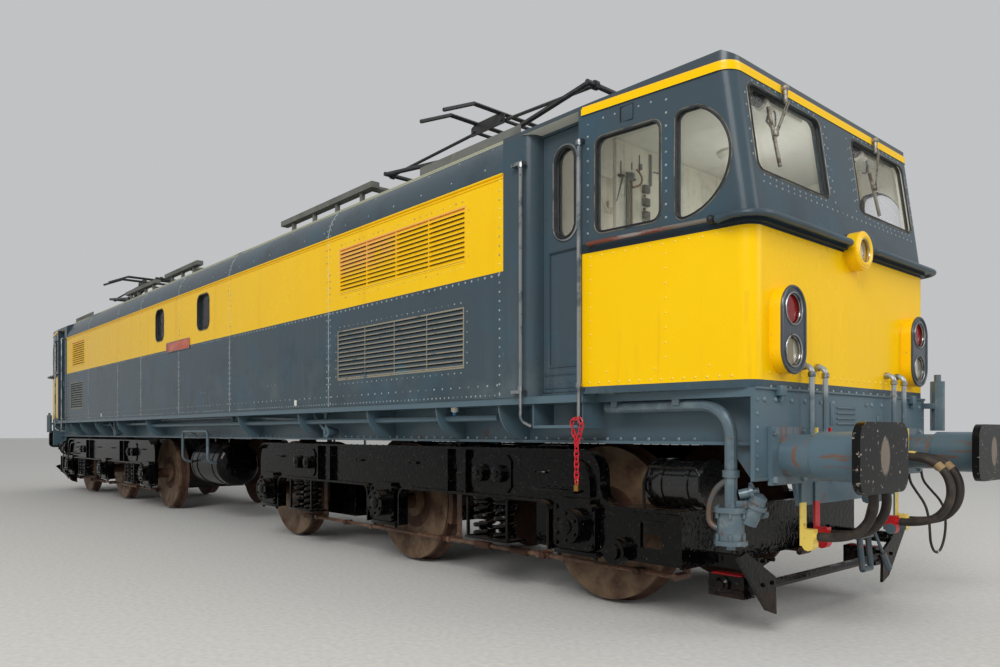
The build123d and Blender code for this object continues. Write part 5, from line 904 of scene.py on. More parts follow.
for name, along, across in DOORS:
    place = Matrix.Diagonal((along, across, 1)).to_3x3()
    # The pane is one solid with the leaf: its faces alone get the glass
    nodes[name].data.materials.append(pane_glass)
    for face in nodes[name].data.polygons:
        at = face.center
        if abs(abs(at.y) + GLASS_Y) < 0.012 and abs(face.normal.y) > 0.9 and abs(at.z - PANE_Z) < 0.32:
            face.material_index = 1
    seals = [pane_ring(place, y, (0.19, 0.62, 0.09, 6), 0.013)
             for y in (DOOR_FACE - 0.002, DOOR_BACK + 0.002)]
    piece(f"{name}_seals", seals, seal_rubber, name)
    rim = [pane_ring(place, DOOR_FACE - 0.004, (0.222, 0.652, 0.105, 8), 0.008)]
    piece(f"{name}_window_rim", rim, bright_steel, name)
    piece(f"{name}_handle", placed(place, handle), bright_steel, name)
    piece(f"{name}_trim", placed(place, trim), frame_paint, name)

# Grab rails along the waist of the cab sides, bent to the wall at their ends, with a rubber knob
RAIL_Z = 2.42
grab = [sweep([cab_side(x, RAIL_Z, out)
               for x, out in ((7.36, 0.0), (7.36, 0.042), (7.39, 0.048), (8.18, 0.048),
                              (8.21, 0.042), (8.21, 0.0))], 0.013)]
knobs = [lathe(cab_side(8.205, RAIL_Z, 0.046), AHEAD,
               ((-0.024, 0.008), (-0.016, 0.020), (0, 0.026), (0.016, 0.020),
                (0.024, 0.008)), 14)]
piece("grab_rail_knobs", four(knobs), seal_rubber)
piece("waist_grab_rails", four(grab), primer_red)

# Wipers: a drive over the roof's edge, two thin rods down to a clip, and a straight slanted blade
wipers = []
for drive_y, (top_y, top_z), (tip_y, tip_z) in ((-0.678, (-0.900, 3.120), (-0.853, 2.768)),
                                                (0.590, (0.419, 3.078), (0.497, 2.728))):
    clip_y, clip_z = top_y + 0.45 * (tip_y - top_y) + 0.004, top_z + 0.45 * (tip_z - top_z)
    wipers.append(block(cab_front(drive_y - 0.016, 3.205, 0.004),
                        cab_front(drive_y + 0.016, 3.318, 0.040), 0.008))
    wipers.append(lathe(cab_front(drive_y, 3.295), RAKED_OUT,
                        ((0, 0.024), (0.030, 0.024), (0.046, 0.012)), 12))
    wipers += [sweep([cab_front(drive_y + slip, 3.215, 0.036), cab_front(clip_y + slip * 0.8, clip_z, 0.030)],
                     0.0045, 6) for slip in (-0.011, 0.011)]
    wipers.append(block(cab_front(clip_y - 0.022, clip_z - 0.016, 0.008),
                        cab_front(clip_y + 0.022, clip_z + 0.016, 0.038), 0.005))
    wipers += [sweep([cab_front(top_y, top_z, out), cab_front(tip_y, tip_z, out)], radius, sides)
               for out, radius, sides in ((0.014, 0.011, 6), (0.004, 0.004, 4))]
piece("windscreen_wipers", both(wipers), wiper_steel)

# Small shut vents above the rear side windows
vents = [block(cab_side(7.575, 3.150, 0.0), cab_side(7.665, 3.240, 0.002), 0.001)]
piece("cab_vents", four(vents), side_paint)
vent_edges = [sweep([cab_side(x, z) for x, z in ((7.665, 3.243), (7.572, 3.243), (7.572, 3.150))], 0.005, 6)]
piece("cab_vent_edges", four(vent_edges), seal_rubber)

# Rims of the lamps: one round each pod and bright rings round the lenses
POD_FACE, HEADLAMP_Z = 8.505, 2.39


def ring(y, z, radius, count, out=0.0):
    """Points of an upright circle on the lamps' faces."""
    return [(POD_FACE + out, y + radius * c, z + radius * s) for c, s in circle(count)]


pod_rims, lens_rims = [], []
for y in (-0.910, 0.910):
    pod_rims.append(sweep([(POD_FACE, y + a, 1.8 + b) for a, b in rounded(0.262, 0.492, 0.1309, 10)],
                          0.009, 8, True))
    for z in (1.92, 1.68):
        lens_rims.append(sweep(ring(y, z, 0.092, 32, 0.002), 0.005, 8, True))
        lens_rims.append(sweep(ring(y, z, 0.092 * 0.92, 32, -0.008), 0.004, 6, True))
lens_rims.append(sweep(ring(0, HEADLAMP_Z, 0.106 * 0.70, 36, 0.002), 0.004, 6, True))
headlamp_rings = [sweep(ring(0, HEADLAMP_Z, 0.106 * share, 36, -0.001), radius, 10, True)
                  for share, radius in ((1.02, 0.011), (0.86, 0.016))]
piece("headlamp_rings", both(headlamp_rings), lamp_paint)
piece("pod_rims", both(pod_rims), lamp_paint)
piece("lens_rims", both(lens_rims), bright_steel)

# Springs: coils between a cup above and a plate below, in place of the plain columns
BOGIE_X, AXLE_Z, SPRING_Y = 4.623, 0.574, 1.085
SPRING_GROUPS, SPRING_OFFSETS = (-1.588, 1.495), (-0.118, 0.118)
SPRING_FOOT, SPRING_TOP = 0.402, 0.7147
# Radius, wire radius and turns of the outer and the inner coil
COILS = ((0.076, 0.0185, 5.2), (0.040, 0.010, 7.2))
TURN_STEPS = 20


def coil(x, y, low, high, radius, wire, turns):
    """A coil spring on an upright axis, its ends lying flat."""
    path = []
    for i in range(int(turns * TURN_STEPS) + 1):
        turn = i / TURN_STEPS
        share = min(max((turn - 0.6) / (turns - 1.2), 0.0), 1.0)
        path.append((x + radius * math.cos(2 * math.pi * turn), y + radius * math.sin(2 * math.pi * turn),
                     low + wire + share * (high - low - 2 * wire)))
    return sweep(path, wire, 8)


def on_bogie(forms, number):
    """Forms of a bogie drawn about its own centre, set at bogie 1 or turned to bogie 2."""
    moved = [([Vector(p) + Vector((BOGIE_X, 0, 0)) for p in points], faces) for points, faces in forms]
    return moved if number == 1 else [turned(form) for form in moved]


spring_forms = []
for group in SPRING_GROUPS:
    for side in (-1, 1):
        for x, y in [(group + offset, side * SPRING_Y) for offset in SPRING_OFFSETS]:
            spring_forms += [coil(x, y, SPRING_FOOT, SPRING_TOP - 0.022, *size) for size in COILS]
            spring_forms.append(lathe((x, y, SPRING_TOP), DOWN, (
                (0, 0.100), (0.012, 0.100), (0.022, 0.092), (0.022, 0.05), (0.045, 0.045)), 20))
            spring_forms.append(lathe((x, y, SPRING_FOOT - 0.004), UP, (
                (0, 0.100), (0.010, 0.098), (0.014, 0.05), (0.035, 0.045)), 20))
        spring_forms.append(block((group - 0.250, side * 0.985, SPRING_FOOT - 0.022),
                                  (group + 0.250, side * 1.185, SPRING_FOOT), 0.006))
        spring_forms += [block((x - 0.012, side * 1.150, SPRING_FOOT - 0.022),
                               (x + 0.012, side * 1.172, SPRING_TOP - 0.01), 0.004)
                         for x in (group - 0.235, group + 0.235)]

# Bolts and small forms on the bogie sides: axlebox covers, caps, staples and plates
castings = []
for side in (-1, 1):
    out = (0, side, 0)
    for axle in (-2.413, 0.0, 2.413):
        castings += [bolt((axle + 0.092 * c, side * 1.243, AXLE_Z + 0.092 * s), out, 0.013, 0, 0.012,
                          0.014, 0.010)
                     for c, s in circle(6, 30)]
        castings.append(lathe((axle, side * 1.244, AXLE_Z), out,
                              ((0, 0.055), (0.010, 0.052), (0.016, 0.03)), 20))
        castings += [bolt((axle + dx, side * 1.163, AXLE_Z + dz), out, 0.018, 0, 0.014, 0.018, 0.012)
                     for dx in (-0.165, 0.165) for dz in (-0.125, 0.125)]
        # Horn keeper below the axlebox with its bolts
        castings.append(block((axle - 0.20, side * 1.10, 0.372), (axle + 0.20, side * 1.155, 0.402), 0.005))
        castings += [bolt((axle + dx, side * 1.13, 0.372), DOWN, 0.016, 0, 0.020, 0.024, 0.01)
                     for dx in (-0.17, 0.17)]
    for x in (1.382, 1.607, -1.703, -1.473):
        castings.append(lathe((x, side * 1.166, 0.9), out,
                              ((0, 0.060), (0.006, 0.060), (0.010, 0.050), (0.010, 0.030),
                               (0.020, 0.026), (0.024, 0.010)), 20))
        castings += [lathe((x + 0.05 * c, side * 1.166, 0.9 + 0.05 * s), out, ((0, 0.009), (0.014, 0.008)), 6)
                     for c, s in circle(4)]
    # Lifting staples on the web
    castings += [sweep([(x + dx, side * y, z + dz) for dx, y, dz in (
        (-0.050, 1.108, 0), (-0.048, 1.136, 0), (-0.036, 1.144, 0.002), (0.036, 1.144, 0.002),
        (0.048, 1.136, 0),
        (0.050, 1.108, 0))], 0.009, 6) for x, z in ((2.05, 0.93), (-0.45, 0.95), (0.45, 0.95), (-2.15, 0.95))]
    # Riveted shelf above the outer axlebox, the nuts along the top lip, and two rows near the end
    castings.append(block((2.02, side * 1.113, 0.795), (2.42, side * 1.170, 0.812), 0.004))
    castings += [rivet((x, side * y, z), toward, radius) for y, z, toward, radius, low, high, pitch in (
        (1.115, 0.84, out, 0.012, 2.08, 2.38, 0.075), (1.110, 1.099, UP, 0.012, -2.3, 2.3, 0.115),
        (1.116, 0.705, out, 0.010, 2.86, 3.24, 0.10), (1.116, 0.415, out, 0.010, 2.92, 3.24, 0.10),
    ) for x in spaced(low, high, pitch)]
    # Bolts round both ends of a brake cylinder, a bent bar over it and a plate below its end
    castings += [bolt((x, side * 1.0 + 0.148 * c, 0.8953 + 0.148 * s), (toward, 0, 0), 0.010, 0, 0.018,
                      0.020, 0.006)
                 for x, toward in ((3.05, -1), (3.40, 1)) for c, s in circle(8)]
    castings.append(sweep([(x, side * y, z) for x, y, z in (
        (3.02, 1.165, 0.735), (3.02, 1.168, 0.90), (3.06, 1.168, 1.00), (3.40, 1.168, 1.00),
        (3.43, 1.168, 0.96), (3.43, 1.165, 0.86))], 0.010, 6))
    castings.append(block((2.985, side * 1.112, 0.575), (3.17, side * 1.125, 0.660), 0.004))
for number in (1, 2):
    body = f"bogie_{number}"
    springs = piece(f"{body}_coils", on_bogie(spring_forms, number), bogie_paint, body)
    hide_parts(f"bogie_{number}_springs")
    piece(f"{body}_castings", on_bogie(castings, number), bogie_paint, body)

# Headstocks: bolts along their edges and round the buffers, ventilation hoods and brackets
headstock_bolts = [bolt(cab_front(y, 1.402), AHEAD, 0.015, -0.002, 0.004, 0.010, 0.009, 8)
                   for y in (-1.10, -0.98, -0.80, -0.64, -0.44, -0.28, 0.20, 0.28, 0.44, 0.64, 0.80,
                             0.98, 1.10)]
headstock_bolts += [bolt(cab_front(s * y, z), AHEAD, 0.011, -0.002, 0.003, 0.008, 0.006, 8)
                    for y, low, high, pitch in ((1.175, 0.97, 1.44, 0.075), (0.30, 0.86, 1.24, 0.09))
                    for s in (-1, 1) for z in spaced(low, high, pitch)]
headstock_bolts += [bolt(cab_front(y + dy, 1.083 + dz, 0.025), AHEAD, 0.021, -0.003, 0.014, 0.020, 0.014)
                    for y in (-0.87, 0.87) for dy in (-0.165, 0.165) for dz in (-0.135, 0.135)]
hoods = boxes(CAB_FRONT, *[((-0.004, -0.225, z - 0.006), (0.010, 0.030, z + 0.007), 0.006)
                           for z in (1.372, 1.338, 1.304, 1.270)],
              ((-0.002, -0.315, 1.262), (0.005, -0.275, 1.408), 0.003),
              ((-0.002, 0.36, 1.27), (0.008, 0.42, 1.33), 0.004))
for y in (-0.94, 0.94):
    hoods += boxes(CAB_FRONT, ((-0.004, y - 0.035, 1.425), (0.034, y + 0.035, 1.485), 0.005),
                   ((0.002, y - 0.012, 1.39), (0.026, y + 0.012, 1.435), 0.004))
# Flanged foot of the cab front, and the lower edge of the headstock
hoods.append(sweep([cab_front(-1.195, 1.463, 0.004), cab_front(1.195, 1.463, 0.004)], 0.009, 6))
hoods += [sweep([cab_front(s * 1.19, 0.955, 0.002), cab_front(s * 0.36, 0.955, 0.002)], 0.010, 6)
          for s in (-1, 1)]
piece("headstock_bolts", both(headstock_bolts), bolt_highlight_paint)
piece("headstock_fittings", both(hoods), under_paint)

# Bolts along the frame below the floor, and on the outriggers
frame_bolts = [rivet((x, side * y, z), (0, side, 0), radius) for side in (-1, 1)
               for y, z, radius, reach, pitch in ((1.060, 1.175, 0.012, 8.0, 0.115),
                                                  (1.000, 1.425, 0.009, 8.3, 0.19))
               for x in spaced(-reach, reach, pitch)]
piece("frame_bolts", frame_bolts, bolt_highlight_paint)

# Air pipes below the middle of the floor, levers on round bosses, small blank plates and domed tank ends
pipes = [
    pipe(0.06, 0.021, 10, (-1.48, -1.03, 1.405), (-1.48, -1.16, 1.405), (1.22, -1.16, 1.405),
         (1.22, -1.16, 1.345), (1.22, -1.03, 1.345)),
    pipe(0.07, 0.018, 10, (1.55, -1.03, 1.40), (1.55, -1.14, 1.40), (3.10, -1.14, 1.36), (3.10, -1.03, 1.36)),
    pipe(0.07, 0.022, 10, (-4.9, -1.03, 1.36), (-4.9, -1.15, 1.36), (-2.1, -1.15, 1.36), (-2.1, -1.03, 1.36)),
    pipe(0.07, 0.019, 10, (0.40, -1.035, 0.80), (0.40, -1.17, 0.84), (0.40, -1.17, 1.237),
         (-0.53, -1.17, 1.237), (-0.53, -1.17, 0.84), (-0.53, -1.035, 0.80)),
]
pipes += [pipe(0.03, 0.010, 6, (x, -1.17, 1.237), (x, -1.10, 1.21), (x, -1.045, 1.175))
          for x in (0.20, -0.33)]
levers = []
for x in (-3.86, 3.60):
    levers.append(lathe((x, -1.145, 1.222), SIDEWAYS,
                        ((-0.10, 0.030), (0.0, 0.058), (0.03, 0.058), (0.034, 0.040),
                         (0.034, 0.022), (0.050, 0.020)), 20))
    levers += [sweep([(x + top, -1.185, 1.452), (x + top * 0.85, -1.185, 1.38),
                      (x + top * 0.1, -1.168, 1.235)], 0.017)
               for top in (-0.24, 0.02)]
    levers += [bolt((x + top, -1.20, 1.42), SIDEWAYS, 0.016, -0.02, 0.004, 0.012, 0.010, 8)
               for top in (-0.22, 0.015)]
piece("air_pipes", both(pipes), pipe_paint)
piece("brake_valve_levers", both(levers), under_paint)
small_plates = [block(on_side(x - 0.025, 1.494, 0.004), on_side(x + 0.025, 1.552, -0.001), 0.002)
                for x in (3.27, -4.04)]
piece("small_blank_plates", both(small_plates), white_enamel)
domes = []
for x, y, z, radius, length in ((-0.06, -0.76, 0.79, 0.29, 0.98), (-0.06, 0.76, 0.79, 0.29, 0.98),
                                (0.94, 0, 0.77, 0.23, 0.56)):
    for end in (-1, 1):
        out = (end, 0, 0)
        profile = [(0.30 * radius * s, radius * c * 0.998) for c, s in circle(32)[:9]]
        domes += [lathe((x + end * (length / 2 - 0.002), y, z), out, profile, 32),
                  collar((x + end * (length / 2 - 0.05), y, z), out, radius, radius + 0.006, 0.03, 32),
                  collar((x + end * length / 4, y, z), out, radius, radius + 0.008, 0.05, 32)]
piece("tank_ends", domes, bogie_paint)

# Feet of the handrails beside the steps, and clamps along the rails
rail_feet = []
for x, toward in ((6.745, 0.045), (7.294, -0.045)):
    rail_feet.append(pipe(0.05, 0.0135, 10, (x, -1.39, 1.53), (x, -1.39, 1.30), (x + toward, -1.335, 1.262)))
    rail_feet += [collar((x, -1.39, z), UP, 0.014, 0.021, 0.032, 10, -0.016) for z in (1.52, 3.08)]
piece("handrail_feet", four(rail_feet), bright_steel)

# Plastic chain looped over the foot of the near handrail, with a brass padlock at its lower end
LINK_PITCH, LINK_WIRE, CHAIN_Y = 0.034, 0.0045, -1.411


def chain(*path):
    """Chain links along a path of (x, z), every second one turned aside."""
    forms = []
    for a, b in zip(path, path[1:]):
        a, b = Vector((a[0], CHAIN_Y, a[1])), Vector((b[0], CHAIN_Y, b[1]))
        ahead = (b - a).normalized()
        for k in range(max(1, round((b - a).length / LINK_PITCH))):
            at = a.lerp(b, (k + 0.5) * LINK_PITCH / (b - a).length)
            beside = ahead.cross(Vector((0, 1, 0))).normalized()
            if len(forms) % 2:
                beside = (beside + Vector((0, 1.6, 0))).normalized()
            beside = (beside - ahead * beside.dot(ahead)).normalized()
            loop = [at + ahead * u + beside * v for u, v in rounded(0.047, 0.026, 0.0129, 3)]
            forms.append(sweep(loop, LINK_WIRE, 6, True))
    return forms


links = chain((7.294, 1.130), (7.248, 1.270), (7.270, 1.305), (7.320, 1.305), (7.342, 1.270), (7.294, 1.130))
piece("safety_chain", links + chain((7.294, 1.130), (7.294, 0.905)), chain_red)
padlock = [block((7.276, CHAIN_Y - 0.010, 0.838), (7.312, CHAIN_Y + 0.010, 0.880), 0.004),
           sweep([(x, CHAIN_Y, z) for x, z in ((7.283, 0.875), (7.283, 0.900), (7.288, 0.910), (7.294, 0.914),
                                               (7.300, 0.910), (7.305, 0.900), (7.305, 0.875))], 0.0035, 6)]
piece("padlock", padlock, brass)
# Small bottle with a blue cap, upside down on the long air pipe
bottle = [lathe((5.765, -1.205, 1.374), UP,
                ((0, 0.012), (0.004, 0.014), (0.012, 0.030), (0.05, 0.032), (0.085, 0.031),
                 (0.092, 0.020)), 16)]
piece("drip_bottle", bottle, white_enamel)
cap = [lathe((5.765, -1.205, 1.352), UP, ((0, 0.014), (0.002, 0.017), (0.022, 0.017), (0.024, 0.014)), 16)]
piece("bottle_cap", cap, blue_plastic)

# Valve at the foot of the side pipe: bolts, an inclined body beside it, and an elbow pipe back up to it
valve = [bolt((8.25 + 0.083 * c, -1.15 + 0.083 * s, z), UP, 0.010, -0.034, 0.034, 0.036, 0.006)
         for z in (0.762, 0.603) for c, s in circle(6)]
valve += [
    lathe((8.318, -1.09, 0.70), (0.45, 0.10, 1), ((0, 0.030), (0.0, 0.055), (0.10, 0.055), (0.10, 0.066),
                                                  (0.125, 0.066), (0.125, 0.05), (0.17, 0.045),
                                                  (0.185, 0.02)), 20),
    lathe((8.29, -1.125, 0.86), (0.9, 0.5, 0.25),
          ((0, 0.03), (0.06, 0.03), (0.06, 0.045), (0.08, 0.045), (0.08, 0.02),
           (0.11, 0.02)), 14),
    block((8.285, -1.16, 0.79), (8.355, -1.06, 0.83), 0.006),
    sweep([(8.33, -1.08, 0.93), (8.37, -1.05, 0.84), (8.39, -1.04, 0.76)], 0.012, 6),
    lathe((8.39, -1.05, 0.75), (0, 1, 0), ((-0.01, 0.024), (0.03, 0.024)), 12)]
valve_pipe = [pipe(0.05, 0.019, 10, (8.25, -1.15, 0.955), (8.17, -1.17, 0.90), (8.125, -1.175, 0.80),
                   (8.125, -1.175, 0.69), (8.19, -1.16, 0.655)),
              lathe((8.25, -1.15, 0.95), (-1, -0.25, -0.6), ((0, 0.028), (0.03, 0.028), (0.03, 0.022),
                                                             (0.05, 0.022)), 12)]
piece("side_valves", both(valve), pipe_paint)
piece("side_valve_pipes", both(valve_pipe), brown_pipe)

# Hose fittings: coloured collars at the cocks, a tan band on two hoses, and string round the jumper
for colour, paint, places in (("yellow", cap_yellow, HOSE_Y[::3]), ("red", cap_red, HOSE_Y[1:3])):
    collars = [lathe((8.520, y, 1.055), AHEAD, ((0, 0.026), (0.0, 0.034), (0.032, 0.034), (0.034, 0.031),
                                                (0.052, 0.031), (0.052, 0.028)), 14) for y in places]
    piece(f"{colour}_collars", collars, paint)
bands = [collar((8.765, y, 1.006), (1, 0, -1), 0.026, 0.0285, 0.05, 18) for y in HOSE_Y[2:]]
piece("hose_bands", bands, tan_rubber)
ties = [lathe(at, ahead, ((-0.008, 0.008), (-0.008, 0.0120), (-0.004, 0.0135), (0.0, 0.0120), (0.004, 0.0135),
                          (0.008, 0.0120), (0.008, 0.008)), 12)
        for at, ahead in (((8.556, 1.268, 0.612), (-0.04, -0.02, 1)), ((8.560, 1.095, 0.340), (0, 1, 0)))]
piece("string_ties", ties, string_fibre)

# Pins, nuts and rusty sleeves of the brake rods, and the red top of the box behind each guard iron
rods, guard_fittings, red_tops = [], [], []
for side in (-1, 1):
    out = (0, side, 0)
    rods += [lathe((x, side * 0.87, 0.275), AHEAD,
                   ((0, 0.014), (0.0, 0.030), (0.20, 0.032), (0.205, 0.014)), 12)
             for x in (-2.05, 1.00, 1.45)]
    for x in (-1.10, 0.55, 1.85, 2.75):
        rods.append(bolt((x, side * 0.86, 0.275), out, 0.026, -0.03, 0.06, 0.064, 0.018, 10))
        rods.append(block((x - 0.05, side * 0.845, 0.252), (x + 0.05, side * 0.895, 0.298), 0.008))
    # Lugs and pins on the box behind the guard iron, with a round eye and a bolted edge
    guard_fittings += [
        lathe((3.46, side * 0.965, 0.300), out,
              ((-0.02, 0.045), (0.02, 0.045), (0.03, 0.03), (0.045, 0.028)), 18),
        block((3.37, side * 0.960, 0.262), (3.60, side * 0.985, 0.276), 0.003),
        bolt((3.56, side * 0.905, 0.30), AHEAD, 0.035, 0, 0.12, 0.125, 0.02, 14)]
    guard_fittings += [bolt((3.66, side * y, z), AHEAD, 0.014, -0.01, 0.040, 0.044, 0.009)
                       for y in (0.80, 0.90) for z in (0.32, 0.46)]
    red_tops.append(block((3.37, side * 0.860, 0.354), (3.58, side * 0.955, 0.362), 0.003))
for number in (1, 2):
    body = f"bogie_{number}"
    for part, forms, paint in (("rod_pins", rods, rust), ("guard_fittings", guard_fittings, bogie_paint),
                               ("red_tops", red_tops, cap_red)):
        piece(f"{body}_{part}", on_bogie(forms, number), paint, body)

# Cabs inside: pale green desks and seat frames, padded seats, a ceiling, and the fittings of the walls
CAB_FLOOR, DESK_HALF, SEAT_Y = 1.466, 1.08, (-0.62, 0.62)
desk_section = ((8.000, CAB_FLOOR), (8.340, CAB_FLOOR), (8.340, 2.420), (8.160, 2.420), (8.120, 2.330),
                (7.850, 2.290), (7.850, 2.220), (8.000, 2.170))
desk_points = [Vector((x, y, z)) for y in (-DESK_HALF, DESK_HALF) for x, z in desk_section]
count = len(desk_section)
desk_faces = [tuple(range(count)), tuple(range(count, 2 * count))[::-1]]
desk_faces += [(k, (k + 1) % count, count + (k + 1) % count, count + k) for k in range(count)]
furniture = [(desk_points, desk_faces)]
for y in SEAT_Y:
    furniture += [
        lathe((7.42, y, CAB_FLOOR), UP, ((0, 0.11), (0.015, 0.11), (0.02, 0.06), (0.40, 0.055), (0.40, 0.09),
                                         (0.415, 0.09)), 20),
        block((7.22, y - 0.20, 1.872), (7.62, y + 0.20, 1.892), 0.006),
        pipe(0.05, 0.016, 8, (7.30, y, 1.885), (7.20, y, 1.90), (7.19, y, 2.02)),
        block((7.188, y - 0.18, 1.99), (7.202, y + 0.18, 2.46), 0.006)]
desks = piece("desks_and_seat_frames", both(furniture), desk_green)
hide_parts("cab_furniture")


def cushion(name, middle, half, grooves):
    """A stuffed cushion: crowned faces, sides pulled in, stitched grooves across it and a piped edge."""
    shape = bmesh.new()
    bmesh.ops.create_cube(shape, size=2)
    bmesh.ops.subdivide_edges(shape, edges=shape.edges[:], cuts=15, use_grid_fill=True)
    thin = min(range(3), key=lambda i: half[i])
    wide = [i for i in range(3) if i != thin]
    for v in shape.verts:
        p = v.co.copy()
        p /= max(sum(abs(c) ** 7 for c in p) ** (1 / 7), 1e-6)
        a, b = p[wide[0]], p[wide[1]]
        crown = 1 + 0.22 * (1 - a * a) * (1 - b * b)
        groove = sum(math.exp(-((b - g) / 0.05) ** 2) for g in grooves)
        pulled = 1 - 0.05 * (1 - p[thin] ** 2)
        p[thin] *= crown - 0.16 * groove
        p[wide[0]] *= pulled
        p[wide[1]] *= pulled
        v.co = Vector([m + h * c for m, h, c in zip(middle, half, p)])
    edge = []
    for u, w in rounded(1.88, 1.88, 0.22, 4):
        at = Vector(middle)
        at[wide[0]] += half[wide[0]] * u
        at[wide[1]] += half[wide[1]] * w
        at[thin] += half[thin] * 0.86
        edge.append(at)
    obj = piece(name, [form_of(shape), sweep(edge, 0.006, 8, True)], vinyl)


for end in (1, -1):
    for y in SEAT_Y:
        label = f"{'near' if end == 1 else 'far'}_{'right' if y * end < 0 else 'left'}"
        cushion(f"seat_cushion_{label}", (end * 7.42, y, 1.945), (0.21, 0.22, 0.050), (-0.33, 0.33))
        cushion(f"seat_back_{label}", (end * 7.238, y, 2.236), (0.034, 0.21, 0.25), (-0.33, 0.33))

inside, dials = [], []
for y in SEAT_Y:
    # Binnacle of dials in front of each seat, a controller with its handle, and a brake handle
    inside.append(block((8.13, y - 0.30, 2.40), (8.23, y + 0.30, 2.56), 0.02))
    dials += [lathe((8.131, y + dy, 2.485), (-1, 0, 0.05),
                    ((0, 0.052), (0.012, 0.052), (0.014, 0.046), (0.008, 0.044)),
                    20) for dy in (-0.20, -0.065, 0.07, 0.205)]
    inside.append(lathe((7.985, y + 0.22, 2.300), UP, ((0, 0.07), (0.05, 0.07), (0.06, 0.06), (0.065, 0.02),
                                                       (0.09, 0.02)), 20))
    dials.append(sweep([(7.985, y + 0.22, 2.385), (7.93, y + 0.16, 2.392), (7.90, y + 0.13, 2.43)], 0.010))
    dials.append(sweep([(7.99, y - 0.24, 2.30), (7.99, y - 0.24, 2.37), (7.93, y - 0.27, 2.375)], 0.011))
# Ceiling panel between the walls, with a lamp
ceiling = [block((6.55, -1.15, 3.288), (8.24, 1.15, 3.302), 0.004),
           lathe((7.55, 0, 3.290), DOWN, ((0, 0.11), (0.02, 0.11), (0.05, 0.08), (0.06, 0.02)), 24)]
# Rear wall: white plates, switches, pipes and small boxes
WALL_X, PARTITION_X = 6.532, 7.157
notices = boxes(WALL_X, ((0, -0.303, 3.175), (0.004, -0.159, 3.262), 0.001),
                ((0, 0.50, 3.06), (0.004, 0.62, 3.22), 0.001))
for z in (3.235, 3.130, 3.040):
    dials += boxes(WALL_X, ((0, 0.205, z - 0.036), (0.03, 0.265, z + 0.036), 0.006),
                   ((0, 0.325, z - 0.024), (0.02, 0.365, z + 0.024), 0.005))
inside += uprights(WALL_X, (0.010, 2.99, 3.285, 0.016), (0.055, 2.99, 3.285, 0.010),
                   (-0.50, 3.02, 3.285, 0.012), (0.43, 2.96, 3.285, 0.012), (1.08, 1.50, 3.285, 0.016))
inside += [sweep([(WALL_X + 0.008, *a), (WALL_X + 0.008, *b)], 0.007, 6)
           for a, b in (((-0.067, 3.270), (-0.199, 3.000)), ((-0.362, 3.201), (-0.229, 2.985)))]
inside += boxes(WALL_X, *[((0, y, z), (0.03, y + 0.05, z + 0.05), 0.008)
                          for y, z in ((-0.24, 3.05), (-0.12, 3.10), (-0.03, 3.06), (0.12, 3.18),
                                       (0.70, 3.12))])
# A rail and a bent handle above each windscreen, and a rail below each side window
for side in (-1, 1):
    inside.append(block((8.195, side * 0.25, 3.235), (8.215, side * 1.02, 3.268), 0.004))
    dials.append(sweep([(8.20, side * 0.62, 3.25), (8.16, side * 0.60, 3.17),
                        (8.17, side * 0.52, 3.13)], 0.008, 6))
    inside.append(sweep([(7.40, side * 1.215, 2.445), (7.85, side * 1.185, 2.445)], 0.014))
# Partition behind the seats, with pipes, bars, hooks and fuse boxes on it
partition = boxes(PARTITION_X, ((-0.022, -0.87, CAB_FLOOR + 0.002), (0, 0.87, 3.286), 0.003),
                  *[((-0.004, y - 0.018, CAB_FLOOR + 0.004), (0.008, y + 0.018, 3.284), 0.002)
                    for y in (-0.85, -0.32, 0.40, 0.85)])
fuses = boxes(PARTITION_X,
              *[((0, y - 0.024, 3.016), (0.035, y + 0.024, 3.034), 0.006) for y in (-0.826, -0.700)])
for z in (2.987, 2.892, 2.798):
    fuses += boxes(PARTITION_X, ((0, -0.570, z - 0.030), (0.030, -0.506, z + 0.030), 0.006),
                   ((0, -0.560, z - 0.055), (0.016, -0.540, z - 0.038), 0.003))
bars = uprights(PARTITION_X, (-0.479, 3.026, 3.255, 0.010), (-0.602, 3.10, 3.225, 0.004),
                (-0.688, 3.10, 3.15, 0.004),
                (-0.81, 3.045, 3.135, 0.004), (-0.746, 2.20, 3.067, 0.012), (0.62, 2.0, 3.2, 0.012))
bars += [sweep([(PARTITION_X + 0.006, *a), (PARTITION_X + 0.006, *b)], 0.006, 6)
         for a, b in (((-0.793, 3.02), (-0.862, 2.84)), ((-0.438, 3.136), (-0.362, 3.145)))]
bars += boxes(PARTITION_X, ((0, -0.612, 3.118), (0.02, -0.584, 3.160), 0.004))
bars.append(bolt((PARTITION_X, -0.728, 3.04), AHEAD, 0.028, 0, 0.03, 0.05, 0.016, 12))
pipes = [sweep([(PARTITION_X + 0.012, -0.703, 2.20), (PARTITION_X + 0.012, -0.703, 3.077)], 0.008),
         pipe(0.03, 0.008, 6, *[(PARTITION_X + out, y, z) for out, y, z in (
             (0.02, -0.70, 2.967), (0.05, -0.64, 2.99), (0.05, -0.628, 3.05), (0.02, -0.655, 3.105))])]
notices += boxes(PARTITION_X, ((0, -0.868, 2.905), (0.003, -0.780, 2.972), 0.001))
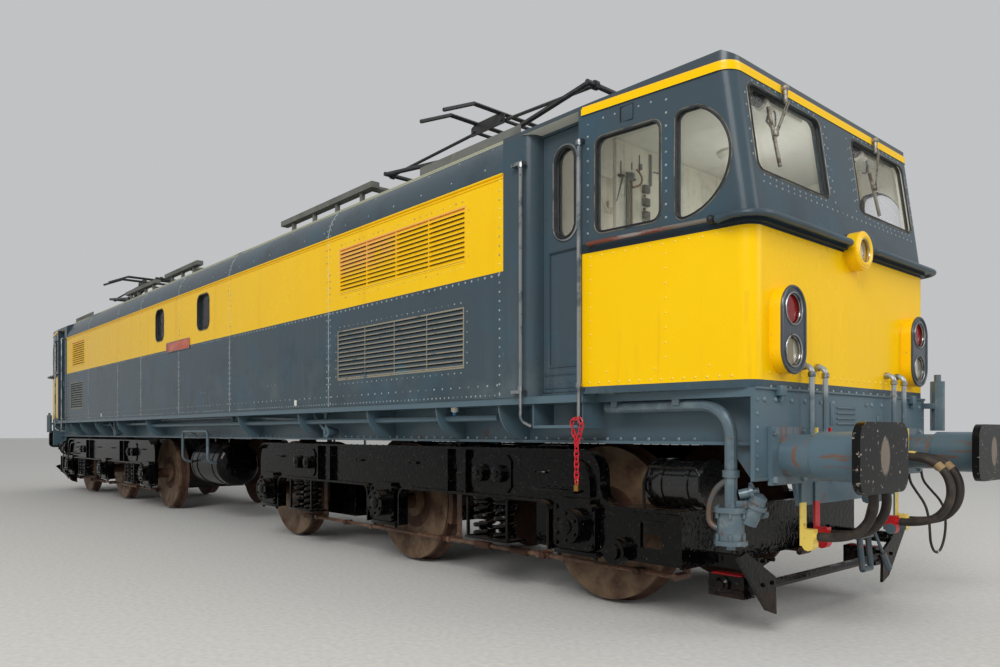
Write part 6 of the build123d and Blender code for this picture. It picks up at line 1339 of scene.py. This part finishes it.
# Wiper motors inside the windscreens, with their hand levers and a looped cable
for y in (-0.80, 0.50):
    dials += [lathe((8.235, y - 0.13, 3.205), (0, 1, 0),
                    ((0, 0.020), (0.01, 0.034), (0.11, 0.034), (0.12, 0.020)), 14),
              sweep([(8.225, y - 0.10, 3.195), (8.215, y - 0.15, 3.11)], 0.008, 6),
              pipe(0.04, 0.006, 6, (8.235, y + 0.12, 3.20), (8.22, y + 0.20, 3.21), (8.21, y + 0.22, 3.12),
                   (8.21, y + 0.15, 3.11))]
    inside.append(lathe((8.235, y - 0.01, 3.200), (0, 1, 0),
                        ((0, 0.022), (0.01, 0.040), (0.05, 0.040), (0.06, 0.030),
                         (0.12, 0.030), (0.13, 0.015)), 14))
for name, forms, paint in (
    ("cab_partitions", partition, cab_cream_paint), ("partition_fuses", fuses, dial_black),
    ("partition_bars", bars, machine_paint), ("partition_pipes", pipes, copper_pipe),
    ("cab_fittings", inside, cab_cream_paint), ("cab_dials", dials, dial_black),
    ("cab_notices", notices, white_enamel), ("cab_ceilings", ceiling, white_enamel),
):
    piece(name, both(forms), paint)
# Elbow sockets on the bare pipes in front of the cabs
elbows = [lathe((x, y, z), toward, ((0, 0.019), (0.003, 0.023), (length - 0.003, 0.023), (length, 0.019)), 14)
          for y in HOSE_Y for x, z, toward, length in ((8.490, 1.545, UP, 0.030),
                                                       (8.434, 1.610, AHEAD, 0.023))]
piece("pipe_elbows", both(elbows), bright_steel)

# Floor, sky and lamps
bpy.ops.mesh.primitive_plane_add(size=400, location=(0, 0, 0))
floor = bpy.context.object
floor.name = "floor"
floor.data.materials.append(finish("pale_floor", "#d9d7d2", 0.9, grain_mm=40.0))

world = bpy.data.worlds.new("studio")
bpy.context.scene.world = world
world.use_nodes = True
world.node_tree.nodes["Background"].inputs[0].default_value = linear("#eef0f2")
world.node_tree.nodes["Background"].inputs[1].default_value = 0.62
for label, place, aim, size, power in (
    ("key", (16, -16, 14), (4, 0, 2), 10, 2600),
    ("fill", (24, 8, 9), (6, 0, 2), 9, 800),
):
    lamp = added(label, bpy.data.lights.new(label, "AREA"))
    lamp.location = place
    lamp.rotation_euler = (Vector(aim) - Vector(place)).to_track_quat("-Z", "Y").to_euler()
    lamp.data.size = size
    lamp.data.energy = power

# Soft lamps in the cabs and behind their partitions, so that the paint inside renders about as written
for x, power in ((7.85, 10), (6.88, 6), (-6.88, 6), (-7.85, 10)):
    lamp = added(f"cab_lamp_{x}", bpy.data.lights.new(f"cab_lamp_{x}", "POINT"))
    lamp.location = (x, 0, 2.72)
    lamp.data.shadow_soft_size = 0.30
    lamp.data.energy = power
    lamp.visible_camera = lamp.visible_glossy = lamp.visible_transmission = False

bpy.context.scene.view_settings.view_transform = "Standard"
